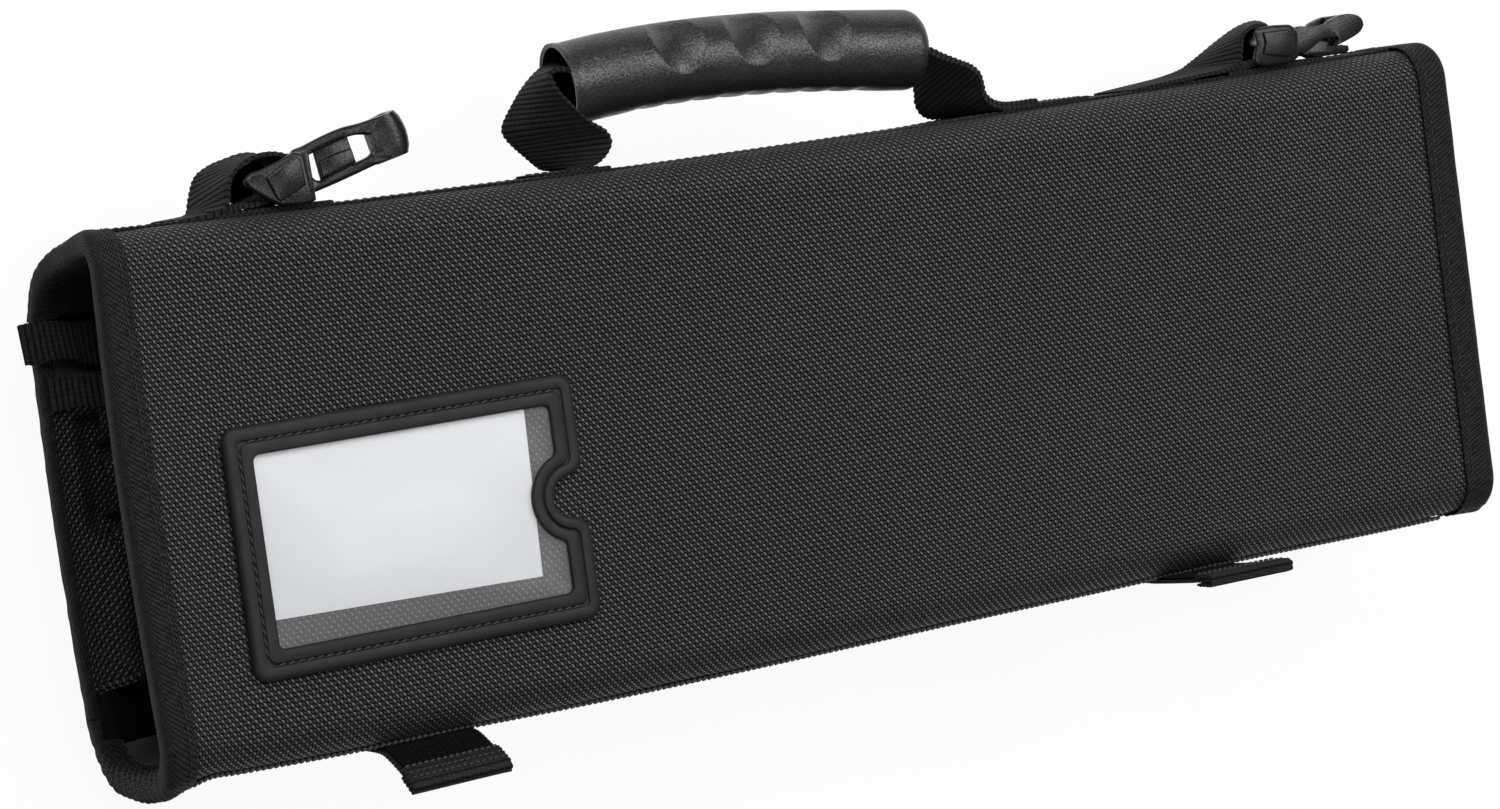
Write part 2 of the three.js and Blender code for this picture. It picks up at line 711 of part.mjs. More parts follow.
function hookTape(x) {
  const half = HOOK_TAPE_WIDTH / 2;
  return box(x - half, x + half, hookTapeLow, hookTapeHigh, bottomZ0 + 1, bottomZ1 - 1);
}
add("hook_tape_left", hookTape(STRAP_LEFT_X), "fuzzy");
add("hook_tape_right", hookTape(STRAP_RIGHT_X), "fuzzy");

// The end of each strap is turned back on itself to make a thick pull tab
function tabFold(x, tab, side) {
  const half = STRAP_WIDTH / 2;
  const last = tab[3];
  const before = tab[2];
  const run = new THREE.Vector2(last[0] - before[0], last[1] - before[1]).normalize();
  const shift = [run.y * side * (WEBBING + GAP), -run.x * side * (WEBBING + GAP)];
  const line = [
    [before[0] + shift[0] - run.x * 4, before[1] + shift[1] - run.y * 4],
    [last[0] + shift[0], last[1] + shift[1]],
  ];
  return alongX(band(line, WEBBING, 0, false), x - half, x + half);
}
add("pull_tab_fold_left", tabFold(STRAP_LEFT_X, tabLeft, -1), "webbing");
add("pull_tab_fold_right", tabFold(STRAP_RIGHT_X, tabRight, -1), "webbing");

// The origin goes to the middle of the base of the whole part's box
const reach = new THREE.Box3().setFromObject(part);
const middle = reach.getCenter(new THREE.Vector3());
part.children.forEach((mesh) => {
  mesh.geometry.translate(-middle.x, -middle.y, -reach.min.z);
});

export default part;
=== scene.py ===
import math
from itertools import accumulate

import bmesh
import bpy
from mathutils import Matrix, Vector, noise


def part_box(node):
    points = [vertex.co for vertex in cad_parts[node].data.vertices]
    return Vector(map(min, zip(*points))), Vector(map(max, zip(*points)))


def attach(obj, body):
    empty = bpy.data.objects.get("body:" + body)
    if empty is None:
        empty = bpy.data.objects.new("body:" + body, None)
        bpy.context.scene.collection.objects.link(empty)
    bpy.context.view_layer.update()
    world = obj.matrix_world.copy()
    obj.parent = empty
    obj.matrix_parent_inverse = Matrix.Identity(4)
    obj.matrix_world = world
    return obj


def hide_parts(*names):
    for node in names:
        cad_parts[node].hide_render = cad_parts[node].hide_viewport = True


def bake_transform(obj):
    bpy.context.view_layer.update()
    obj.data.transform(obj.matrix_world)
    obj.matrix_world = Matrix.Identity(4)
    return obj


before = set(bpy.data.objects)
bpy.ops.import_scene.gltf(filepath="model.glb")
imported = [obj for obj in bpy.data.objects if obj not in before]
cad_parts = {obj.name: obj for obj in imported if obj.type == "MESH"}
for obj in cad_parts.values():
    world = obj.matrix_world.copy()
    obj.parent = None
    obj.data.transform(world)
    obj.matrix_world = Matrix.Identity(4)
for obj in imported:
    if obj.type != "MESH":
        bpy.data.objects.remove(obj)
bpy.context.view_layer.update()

# Everything is drawn in millimetres about the middle of the tray and moved once to the frame
MM = 0.001
PI = math.pi
cover_low, cover_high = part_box("tray_cover")
SHIFT = Vector(((cover_low.x + cover_high.x) / 2, (cover_low.y + cover_high.y) / 2, cover_low.z))
HALF = 245.0  # half the length of the tray's cloth
BOUND_END = 246.4  # fold of the binding tape, from the middle
WEB_Z = 35.5  # middle of the spine webbing
WEB_LOW, WEB_TOP = 23.4, 47.6  # its two edges, where other webbing is sewn to it


def in_frame(point):
    return Vector(point) * MM + SHIFT


# The long panels bow down a little between their bound ends
def settle(x):
    return 3.6 * max(0.0, 1 - (x / HALF) ** 2)


def bowed(x, y, z):
    return Vector((x, y - settle(x), z))


def clamp(value, low=0.0, high=1.0):
    return min(max(value, low), high)


def ease(value, low, high):
    t = clamp((value - low) / (high - low))
    return t * t * (3 - 2 * t)


# Rises from 0 to 1 over the first two places and falls back over the last two
def between(value, rise, full, fall, gone):
    return ease(value, rise, full) * (1 - ease(value, fall, gone))


# The cloth shell is not true: its bottom edge bows less on the right, and at the open left end
# the edges are pulled in, the spine corner slumps and the bottom corner bulges
def drawn_in(point):
    x, y, z = point
    lift = 1.9 * between(x, -130, 60, 130, 240)
    lift -= between(-x, 130, 190, 215, 240)
    y += lift * ease(-y, 50, 79)
    if x > -150:
        return Vector((x, y, z))
    share = clamp((-x - 218) / 28.5) ** 1.3
    pull = 1.9 + 2.0 * clamp(z / 60) + 1.2 * (y / 65) ** 2
    pull += 1.8 * ease(y, 58, 76) * between(z, 6, 24, 40, 56)
    slump = 4.8 * ease(48 - z, 0, 34) * ease(y, 54, 65) * ease(-x, 205, 243)
    bulge = 6.6 * (0.3 + 0.7 * math.sin(PI * clamp(z / 62 + 0.03)) ** 0.8)
    bulge *= ease(-x, 222, 244) * ease(-y, 64, 79)
    return Vector((x + pull * share, y - slump - bulge, z))


def ripple(x, y, scale, seed=0.0):
    return noise.noise(Vector((x / scale, y / scale, seed)))


# Materials: one recipe class adds nodes and joins them
NOISE_LOW, NOISE_HIGH = 0.3, 0.7  # where most of a noise texture's values lie
MIX_A, MIX_B, MIX_OUT = 6, 7, 2  # colour sockets of the Mix node
OBJECT_PLACE = 3  # socket of the Texture Coordinate node


class Recipe:
    def __init__(self, name, **constants):
        self.material = bpy.data.materials.new(name)
        self.material.use_nodes = True
        self.tree = self.material.node_tree
        self.shader = self.tree.nodes["Principled BSDF"]
        for key, value in constants.items():
            self.shader.inputs[key.replace("_", " ")].default_value = value

    def feed(self, socket, value):
        if isinstance(value, bpy.types.NodeSocket):
            self.tree.links.new(value, socket)
        else:
            socket.default_value = value

    def node(self, kind, *values, out=0, named=None, **settings):
        node = self.tree.nodes.new("ShaderNode" + kind)
        for key, value in settings.items():
            setattr(node, key, value)
        for socket, value in zip(node.inputs, values):
            self.feed(socket, value)
        for key, value in (named or {}).items():
            self.feed(node.inputs[key], value)
        return node.outputs[out]

    def op(self, operation, *values):
        return self.node("Math", *values, operation=operation)

    def wave(self, place, pitch):
        return self.op("SINE", self.op("MULTIPLY", place, PI / pitch))

    def ridges(self, place, pitch):
        return self.op("ABSOLUTE", self.wave(place, pitch))

    def cloth_place(self):
        uv = self.node("UVMap")
        parts = self.node("SeparateXYZ", uv).node
        return parts.outputs[0], parts.outputs[1], uv

    def grain(self, scale, detail=2.0, place=None, rough=0.5):
        place = place or self.node("TexCoord", out=OBJECT_PLACE)
        named = {"Vector": place, "Scale": scale, "Detail": detail, "Roughness": rough}
        return self.node("TexNoise", named=named)

    def span(self, value, low, high, to_low=0.0, to_high=1.0):
        return self.node("MapRange", value, low, high, to_low, to_high)

    def spread(self, noisy, to_low=0.0, to_high=1.0):
        return self.span(noisy, NOISE_LOW, NOISE_HIGH, to_low, to_high)

    def colour(self, share, dark, light):
        mix = self.node("Mix", share, data_type="RGBA").node
        mix.inputs[MIX_A].default_value = (*dark, 1)
        mix.inputs[MIX_B].default_value = (*light, 1)
        self.feed(self.shader.inputs["Base Color"], mix.outputs[MIX_OUT])

    def rough(self, value):
        self.feed(self.shader.inputs["Roughness"], value)

    def shine(self, value):
        self.feed(self.shader.inputs["Specular IOR Level"], value)

    def relief(self, height, depth, strength=1.0):
        named = {"Height": height, "Distance": depth * MM, "Strength": strength}
        self.feed(self.shader.inputs["Normal"], self.node("Bump", named=named))


def woven_cloth(name, pitch, gap, bead, depth):
    r = Recipe(name, Sheen_Weight=0.03, Sheen_Roughness=0.4)
    u, v, uv = r.cloth_place()
    shake = r.spread(r.grain(0.9, 1.0, uv), -0.12, 0.12)
    across = r.op("MULTIPLY_ADD", u, PI / pitch[0], shake)
    along = r.op("MULTIPLY_ADD", v, PI / pitch[1], shake)
    slope = r.op("MULTIPLY", r.op("COSINE", across), r.op("COSINE", along))
    over = r.op("MULTIPLY", r.op("SINE", across), r.op("SINE", along))
    over = r.op("MULTIPLY_ADD", slope, 0.32, over)
    warp, weft = r.span(over, 0.1, 0.65), r.span(over, -0.2, -0.8, 0.0, 0.4)
    shown = r.op("MAXIMUM", warp, weft)
    uneven = r.spread(r.grain(0.45, 2.0, uv), 0.82, 1.14)
    broad = r.spread(r.grain(9.0, 3.0), 0.9, 1.1)
    share = r.op("MULTIPLY", r.op("MULTIPLY", shown, uneven), broad)
    # Colour follows the weave: the gap colour is painted shade between the threads and the bead colour a
    # painted highlight on the raised threads
    r.colour(share, gap, bead)
    r.rough(r.span(shown, 0.0, 1.0, 0.85, 0.42))
    r.shine(r.span(share, 0.1, 1.0, 0.02, 0.5))
    r.relief(r.op("POWER", r.op("ABSOLUTE", over), 0.6), depth)
    return r.material


def ribbed_webbing(name, dark, light, rib=2.0, yarn=0.95):
    r = Recipe(name, Sheen_Weight=0.03, Sheen_Roughness=0.5)
    u, v, uv = r.cloth_place()
    ribs = r.op("POWER", r.ridges(v, rib), 0.7)
    beads = r.op("POWER", r.ridges(u, yarn), 0.5)
    twist = r.ridges(r.op("MULTIPLY_ADD", u, 0.35, v), rib / 2)
    height = r.op("MULTIPLY", ribs, r.op("MULTIPLY_ADD", beads, 0.45, 0.55))
    height = r.op("MULTIPLY_ADD", twist, 0.25, height)
    uneven = r.spread(r.grain(0.6, 2.0, uv), 0.7, 1.15)
    # Colour follows the rib height: painted shade in the hollows and painted highlight on the raised ribs
    r.colour(r.op("MULTIPLY", r.span(height, 0.15, 1.05), uneven), dark, light)
    r.rough(r.span(height, 0.0, 1.1, 0.95, 0.65))
    r.shine(r.span(height, 0.2, 1.1, 0.01, 0.1))
    r.relief(height, 0.3)
    return r.material


def twill_tape(name, dark, light, rib=1.55, yarn=0.62):
    r = Recipe(name, Sheen_Weight=0.03, Sheen_Roughness=0.45)
    u, v, uv = r.cloth_place()
    ribs = r.ridges(r.op("MULTIPLY_ADD", u, 1.1, v), rib)
    yarns = r.ridges(r.op("MULTIPLY_ADD", v, -0.5, u), yarn)
    height = r.op("MULTIPLY", r.op("MULTIPLY_ADD", ribs, 0.5, 0.5), r.op("MULTIPLY_ADD", yarns, 0.6, 0.4))
    uneven = r.spread(r.grain(0.7, 2.0, uv), 0.6, 1.25)
    # Colour follows the twill height: painted shade in the grooves and painted highlight on the raised ribs
    share = r.op("MULTIPLY", r.span(height, 0.25, 1.0), uneven)
    r.colour(share, dark, light)
    r.rough(r.span(height, 0.0, 1.0, 0.9, 0.55))
    r.shine(r.span(share, 0.1, 1.0, 0.01, 0.14))
    r.relief(height, 0.18)
    return r.material


def smooth_lining(name, dark, light, gloss, yarn=0.28):
    r = Recipe(name, Sheen_Weight=0.2 * gloss, Sheen_Roughness=0.35, Specular_IOR_Level=gloss)
    u, v, _ = r.cloth_place()
    folds = r.grain(26.0, 3.0)
    r.colour(r.spread(folds), dark, light)
    r.rough(r.spread(folds, 0.5, 0.62))
    r.relief(r.op("MULTIPLY", r.wave(u, yarn), r.wave(v, yarn)), 0.04, 0.6)
    return r.material


def moulded_plastic(name, base, light, roughness, grit, depth, gloss, speckle):
    r = Recipe(name, Specular_IOR_Level=gloss)
    fine, coarse = r.grain(grit), r.grain(grit / 14)
    r.colour(r.span(r.grain(30.0, 3.0), 0.35, 0.75), base, light)
    r.rough(r.spread(coarse, roughness - 0.06, roughness + 0.08))
    r.shine(r.span(fine, 0.38, 0.62, gloss * (1 - speckle), gloss * (1 + speckle)))
    r.relief(r.op("MULTIPLY_ADD", coarse, 0.3, fine), depth)
    return r.material


def hook_fuzz(name, dark, light, dots):
    r = Recipe(name, Sheen_Weight=0.01, Sheen_Roughness=0.6, Specular_IOR_Level=0.03)
    uv = r.node("UVMap")
    cell = r.node("TexVoronoi", named={"Vector": uv, "Scale": dots, "Randomness": 0.35})
    loops = r.grain(dots * 2.2, 3.0, uv, 0.7)
    height = r.op("SUBTRACT", r.op("MULTIPLY", loops, 0.8), cell)
    # Colour follows the pile height: painted shade in the pits and painted highlight on the loop tops
    r.colour(r.span(height, -0.2, 0.55), dark, light)
    r.rough(r.spread(loops, 0.75, 0.95))
    r.relief(height, 0.35)
    return r.material


def spun_thread(name, dark, light):
    r = Recipe(name, Specular_IOR_Level=0.4, Roughness=0.6)
    u, v, _ = r.cloth_place()
    twist = r.op("SINE", r.op("MULTIPLY", r.op("ADD", u, v), 9.0))
    # Colour follows the twist: painted shade in the twist grooves and painted highlight on the plies
    r.colour(r.span(twist, -1.0, 1.0), dark, light)
    r.relief(twist, 0.05)
    return r.material


def clear_film(name, dark, light):
    r = Recipe(name, IOR=1.46, Alpha=0.1)
    haze = r.grain(14.0)
    r.colour(r.spread(haze), dark, light)
    r.rough(r.spread(haze, 0.12, 0.18))
    r.relief(r.grain(12.0, 1.0), 0.03, 0.4)
    return r.material


def pressed_fibre(name, dark, light, grain, matt, depth, strength=1.0):
    r = Recipe(name, Specular_IOR_Level=0.3)
    fibre = r.grain(**grain)
    r.colour(r.spread(fibre), dark, light)
    r.rough(r.spread(fibre, *matt))
    r.relief(fibre, depth, strength)
    return r.material


# Cover weave: its gap colour is painted shade between the threads, its bead colour a painted highlight on them
CLOTH = woven_cloth("cover_weave", (1.19, 1.36), (0.0015, 0.0015, 0.0017), (0.0575, 0.0575, 0.062), 0.32)
# Inner cloth: a copy of the cover weave with its colours about halved, as painted shade inside the case
INNER_CLOTH_IN_SHADE = woven_cloth("inner_weave_painted_shade", (1.15, 1.3), (0.001, 0.001, 0.0011), (0.028, 0.028, 0.0305), 0.3)
LINING = smooth_lining("nylon_lining", (0.01, 0.0105, 0.013), (0.02, 0.021, 0.027), 0.35)
# Dust flap lining: near black, as painted shade of the dark pit at the open end
LIP_CLOTH_IN_SHADE = smooth_lining("lining_painted_shade", (0.0015, 0.0015, 0.0017), (0.004, 0.004, 0.0045), 0.06)
TAPE = twill_tape("binding_twill", (0.0014, 0.0014, 0.0014), (0.0225, 0.0212, 0.02))
WEBBING = ribbed_webbing("strap_webbing", (0.0008, 0.0008, 0.0008), (0.0172, 0.016, 0.0152))
PLASTIC = moulded_plastic("hook_plastic", (0.0055, 0.0055, 0.006), (0.009, 0.009, 0.0095),
                          roughness=0.27, grit=1350.0, depth=0.06, gloss=0.24, speckle=0.3)
GRIP = moulded_plastic("grip_plastic", (0.0105, 0.0102, 0.0105), (0.0165, 0.016, 0.0165),
                       roughness=0.35, grit=1250.0, depth=0.17, gloss=0.48, speckle=0.4)
RUBBER = moulded_plastic("frame_rubber", (0.0085, 0.0085, 0.009), (0.0125, 0.0125, 0.013),
                         roughness=0.55, grit=3200.0, depth=0.012, gloss=0.24, speckle=0.0)
THREAD = spun_thread("sewing_thread", (0.004, 0.004, 0.004), (0.03, 0.03, 0.032))
# Selvedge cord: the sewing thread's colours raised as painted light, since the cord sits in the shade of the
# panel's curve
LIT_EDGE_CORD = spun_thread("selvedge_yarn_painted_light", (0.008, 0.008, 0.008), (0.085, 0.082, 0.08))
FUZZ = hook_fuzz("loop_tape_pile", (0.004, 0.004, 0.0045), (0.035, 0.035, 0.037), 1.1)
# Hook tape: colours dimmed well below the loop tape's, as painted shade under the case's bottom edge
HOOKS_IN_SHADE = hook_fuzz("hook_tape_painted_shade", (0.0008, 0.0008, 0.0008), (0.007, 0.0066, 0.0062), 0.75)
FILM = clear_film("clear_film", (0.6, 0.61, 0.63), (0.66, 0.67, 0.69))
CARD = pressed_fibre("card_stock", (0.65, 0.66, 0.68), (0.68, 0.69, 0.71),
                     {"scale": 900.0, "detail": 4.0}, (0.5, 0.6), 0.02, 0.4)
BOARD = pressed_fibre("fibre_board", (0.025, 0.025, 0.027), (0.05, 0.05, 0.052),
                      {"scale": 500.0, "detail": 5.0, "rough": 0.7}, (0.8, 0.95), 0.15)


# Shapes: a bmesh in millimetres is finished, moved to the frame and made to ride on its body
CLOTH_BODIES = ("tray", "back_lid", "strap_left", "strap_right")


def shape_done(name, bm, body, material, slot, stands_for=(), crease=40, pulled=False):
    bmesh.ops.recalc_face_normals(bm, faces=bm.faces)
    for face in bm.faces:
        face.smooth = True
    pulled = pulled or body in CLOTH_BODIES
    for vert in bm.verts:
        vert.co = in_frame(drawn_in(vert.co) if pulled else vert.co)
    mesh = bpy.data.meshes.new(name)
    bm.to_mesh(mesh)
    bm.free()
    mesh.set_sharp_from_angle(angle=math.radians(crease))
    piece = bpy.data.objects.new(name, mesh)
    bpy.context.scene.collection.objects.link(piece)
    mesh.materials.append(material)
    if body:
        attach(piece, body)
    if stands_for:
        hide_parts(*stands_for)
    return piece


# A grid bent into place: place(u, v) takes two shares from 0 to 1 and gives millimetres
def laid_grid(bm, columns, rows, place, size, closed=False):
    made = bmesh.ops.create_grid(bm, x_segments=columns, y_segments=rows, size=0.5)["verts"]
    layer = bm.loops.layers.uv.verify()
    for face in {face for vert in made for face in vert.link_faces}:
        for loop in face.loops:
            share = loop.vert.co
            loop[layer].uv = ((share.x + 0.5) * size[0], (share.y + 0.5) * size[1])
    for vert in made:
        vert.co = place(vert.co.x + 0.5, vert.co.y + 0.5)
    bmesh.ops.remove_doubles(bm, verts=made, dist=0.002)
    if closed:
        left = [vert for vert in made if vert.is_valid]
        ends = {edge for vert in left for edge in vert.link_edges if edge.is_boundary}
        bmesh.ops.holes_fill(bm, edges=list(ends), sides=0)


def thicken(piece, wall, offset):
    solid = piece.modifiers.new("thickness", "SOLIDIFY")
    solid.thickness = wall * MM
    solid.offset = offset


# A piece made of one bent grid; a wall makes a sheet thick: offset 0 on both sides, -1 on one
def sheet_piece(name, body, material, slot, stands_for, grid, place, size,
                wall=0.0, offset=0, closed=False, **more):
    bm = bmesh.new()
    laid_grid(bm, *grid, place, size, closed)
    piece = shape_done(name, bm, body, material, slot, stands_for, **more)
    if wall:
        thicken(piece, wall, offset)
    return piece


def flat_uv(bm):
    layer = bm.loops.layers.uv.verify()
    for face in bm.faces:
        normal = face.normal
        axis = max(range(3), key=lambda i: abs(normal[i]))
        a, b = [i for i in range(3) if i != axis]
        for loop in face.loops:
            loop[layer].uv = (loop.vert.co[a], loop.vert.co[b])


# A smooth line through points, and lines cut into steps of even length
def spline(points, closed=False):
    points = [Vector(p) for p in points]
    if closed:
        padded = [points[-1], *points, points[0], points[1]]
    else:
        padded = [2 * points[0] - points[1], *points, 2 * points[-1] - points[-2]]
    fine, steps = [], 24
    for i in range(1, len(padded) - 2):
        p0, p1, p2, p3 = padded[i - 1:i + 3]
        for k in range(steps):
            t = k / steps
            fine.append(0.5 * (2 * p1 + (p2 - p0) * t + (2 * p0 - 5 * p1 + 4 * p2 - p3) * t * t
                               + (3 * p1 - p0 - 3 * p2 + p3) * t ** 3))
    return [*fine, padded[-2]]


def even_steps(lines, count):
    lengths = [0.0]
    for k in range(1, len(lines[0])):
        lengths.append(lengths[-1] + sum((line[k] - line[k - 1]).length for line in lines) / len(lines))
    out, j = [[] for _ in lines], 0
    for k in range(count + 1):
        wanted = lengths[-1] * k / count
        while j < len(lengths) - 2 and lengths[j + 1] < wanted:
            j += 1
        step = lengths[j + 1] - lengths[j]
        share = clamp((wanted - lengths[j]) / step if step else 0)
        for cut, line in zip(out, lines):
            cut.append(line[j].lerp(line[j + 1], share))
    return out, lengths[-1]


def smooth_line(points, count, closed=False):
    cuts, run = even_steps([spline(points, closed)], count)
    return cuts[0], run


# Webbing between two edge lines, with ribs across it and a beaded selvedge along both edges
WEBBING_STEP = 0.5


def webbing(bm, edge_a, edge_b, thick, rib=2.0, bead=1.9, relief=0.16, selvedge=0.3, paired=False):
    run = max(smooth_line(edge, 40)[1] for edge in (edge_a, edge_b))
    rows = max(8, round(run / WEBBING_STEP))
    if paired:
        line_a, line_b = even_steps([spline(edge_a), spline(edge_b)], rows)[0]
    else:
        line_a, line_b = smooth_line(edge_a, rows)[0], smooth_line(edge_b, rows)[0]
    width = (line_a[0] - line_b[0]).length
    inner = [0.0, 0.045, 0.1, 0.2, 0.35, 0.5, 0.65, 0.8, 0.9, 0.955, 1.0]
    around = [(w, 1) for w in inner] + [(w, -1) for w in reversed(inner)]
    normals = []
    for k in range(rows + 1):
        before, after = max(k - 1, 0), min(k + 1, rows)
        forward = line_a[after] + line_b[after] - line_a[before] - line_b[before]
        normals.append((line_b[k] - line_a[k]).cross(forward).normalized())

    def place(u, v):
        k = round(v * rows)
        w, side = around[round(u * len(around)) % len(around)]
        length = v * run
        across = (line_b[k] - line_a[k]).normalized()
        edge = min(w, 1 - w) * width
        lump = abs(math.sin(PI * length / bead + (0 if w < 0.5 else 1.2)))
        at_edge = 1 - ease(edge, 0.5, 1.5)
        ribs = relief * (abs(math.sin(PI * length / rib)) - 0.6) * (1 - at_edge)
        fat = thick / 2 * (0.96 - 0.2 * (edge < 0.01)) + ribs + at_edge * (selvedge * lump - 0.12)
        close = ease(length, -0.01, 0.7) * ease(run - length, -0.01, 0.7)
        out = selvedge * lump * (edge < 0.3) * (-1 if w < 0.5 else 1)
        lift = normals[k] * side * fat * (0.55 + 0.45 * close)
        return line_a[k].lerp(line_b[k], w) + across * out + lift

    laid_grid(bm, len(around), rows, place, (2 * width, run), closed=True)


def webbing_piece(name, body, runs, thick, stands_for=(), material=WEBBING, slot="webbing", **more):
    bm = bmesh.new()
    for edges in runs:
        webbing(bm, *edges, thick, **more)
    return shape_done(name, bm, body, material, slot, stands_for, crease=60)


# Rows of stitches: each one is a small ellipsoid that lies along the line, turned by lean
def stitches(bm, line, up, pitch=3.2, length=2.3, radius=0.24, sink=0.0, lean=0.0):
    points, run = smooth_line(line, max(4, round(smooth_line(line, 10)[1] / 0.8)))
    count = max(1, int(run / pitch))
    for i in range(count):
        share = (i + 0.5) / count * (len(points) - 1)
        k = min(int(share), len(points) - 2)
        at = points[k].lerp(points[k + 1], share - k)
        run_dir = (points[k + 1] - points[k]).normalized()
        normal = (up(at) if callable(up) else Vector(up)).normalized()
        side = normal.cross(run_dir).normalized()
        run_dir = (run_dir + side * lean).normalized()
        side = normal.cross(run_dir).normalized()
        turn = Matrix((run_dir, side, normal)).transposed().to_4x4()
        size = Matrix.Diagonal((length / 2, radius, radius, 1))
        place = Matrix.Translation(at - normal * sink) @ turn @ size
        bmesh.ops.create_uvsphere(bm, u_segments=6, v_segments=5, radius=1.0, matrix=place, calc_uvs=True)


def stitch_piece(name, body, rows, slot="tape", material=THREAD):
    bm = bmesh.new()
    for row in rows:
        stitches(bm, **row)
    return shape_done(name, bm, body, material, slot)


# The wall of the tray seen from its end, run by run from the lid's hinge round to its free edge:
# an arc has its centre, radius and two angles, a line its two ends
WALL_RUN = [
    ("arc", 56, 24, 24, -90, 0), ("line", 80, 24, 80, 48), ("arc", 68, 48, 12, 0, 90),
    ("line", 68, 60, -68, 60), ("arc", -68, 48, 12, 90, 180), ("line", -80, 48, -80, 15),
    ("arc", -65, 15, 15, 180, 270),
]


def run_length(kind, y, z, *rest):
    if kind == "arc":
        radius, first, last = rest
        return math.radians(last - first) * radius
    return math.dist((y, z), rest)


*RUN_STARTS, WALL_LENGTH = [0.0, *accumulate(run_length(*run) for run in WALL_RUN)]
FRONT_TOP, FRONT_LOW = RUN_STARTS[3:5]


# The point at x along the case, s round the wall's outer face and a depth below that face
def on_wall(x, s, depth):
    s = clamp(s, 0.0, WALL_LENGTH)
    for run, start in zip(WALL_RUN, RUN_STARTS):
        length = run_length(*run)
        if s <= start + length + 1e-9:
            break
    t = (s - start) / length
    kind, y, z, *rest = run
    if kind == "arc":
        radius, first, last = rest
        angle = math.radians(first + (last - first) * t)
        y += (radius - depth) * math.cos(angle)
        z += (radius - depth) * math.sin(angle)
    else:
        dy, dz = rest[0] - y, rest[1] - z
        y += dy * t - dz / length * depth
        z += dz * t + dy / length * depth
    return bowed(x, y, z)


# Woven cover of the tray, pulled in under the end tapes, flat under the name window and the strips,
# and slightly slack elsewhere
def build_cover():
    def place(u, v):
        x = (u - 0.5) * 2 * HALF
        s = v * WALL_LENGTH
        end = HALF - abs(x)
        tuck = 0.35 * (1 - ease(end, 8, 30))
        slack = 0.28 * ripple(x, s, 46, 2.0) + 0.16 * ripple(x, s, 17, 5.0) * (1 - ease(end, 10, 70))
        front = between(s, FRONT_TOP, FRONT_TOP + 30, FRONT_LOW - 30, FRONT_LOW)
        crown = 0.45 * front * ease(end, 12, 90) - 0.25 * front * ripple(x, s, 90, 8.0)
        window = between(x, -214, -211, -98, -95) * ease(s, FRONT_TOP + 46, FRONT_TOP + 50)
        window *= 1 - ease(s, FRONT_TOP + 124, FRONT_TOP + 128)
        under_strip = between(s, 31, 35, 61, 64) + ease(s, FRONT_LOW + 30, FRONT_LOW + 33)
        return on_wall(x, s, tuck - (slack + crown) * (1 - window) * (1 - under_strip) * ease(end, 11, 16))

    sheet_piece("front_cover", "tray", CLOTH, "cover", ("tray_cover",), (150, 126), place,
                (2 * HALF, WALL_LENGTH), 0.9, -1)


def build_tray_lining():
    length, margin = 488, 2

    def place(u, v):
        x = (u - 0.5) * length
        s = margin + v * (WALL_LENGTH - 2 * margin)
        loose = 0.35 * ripple(x, s, 30, 12.0) - 0.2
        return on_wall(x, s, 4.75 - loose * ease(length / 2 - abs(x), 12, 30))

    sheet_piece("inner_lining", "tray", LINING, "lining", ("tray_lining",), (90, 96), place,
                (length, WALL_LENGTH), 0.5)


# Stiffener boards inside the panels
def build_boards():
    steps, depth, wall, length = 24, 1.35, 2.5, 487
    for name, node, s0, s1 in [
        ("front_stiffener", "front_board", FRONT_TOP + 0.8, FRONT_LOW - 0.8),
        ("spine_stiffener", "spine_board", 1.0, FRONT_TOP - 3),
        ("bottom_stiffener", "bottom_board", FRONT_LOW + 3, WALL_LENGTH - 1),
    ]:
        def place(u, v):
            x = (u - 0.5) * length
            k = round(v * (2 * steps + 2)) % (2 * steps + 2)
            if k <= steps:
                return on_wall(x, s0 + (s1 - s0) * k / steps, depth)
            return on_wall(x, s1 + (s0 - s1) * (k - steps - 1) / steps, depth + wall)

        sheet_piece(name, "tray", BOARD, "board", (node,), (24, 2 * steps + 2), place,
                    (length, s1 - s0), closed=True)


# Binding tape folded round an edge: outer leg, rounded edge, inner leg, and the length of it all
def tape_section(outer, inner, top, low, puff):
    line = [(-outer, top - 0.35), (-outer, top - 0.05), (-outer + 0.5, top + 0.1),
            (-outer * 0.72, top + 0.12), (-outer * 0.45, top + 0.1 + puff), (-outer * 0.22, top + 0.15 + puff),
            (-1.6, top), (-0.5, top - 0.7), (0, top - 1.8), (0, (top + low) / 2),
            (0, low + 1.8), (-0.5, low + 0.7), (-1.6, low),
            (-inner * 0.22, low - 0.15 - puff), (-inner * 0.45, low - 0.1 - puff), (-inner * 0.72, low - 0.12),
            (-inner + 0.5, low - 0.1), (-inner, low + 0.05), (-inner, low + 0.35)]
    section = [(BOUND_END + a, b) for a, b in line]
    return section, sum(math.dist(a, b) for a, b in zip(section, section[1:]))


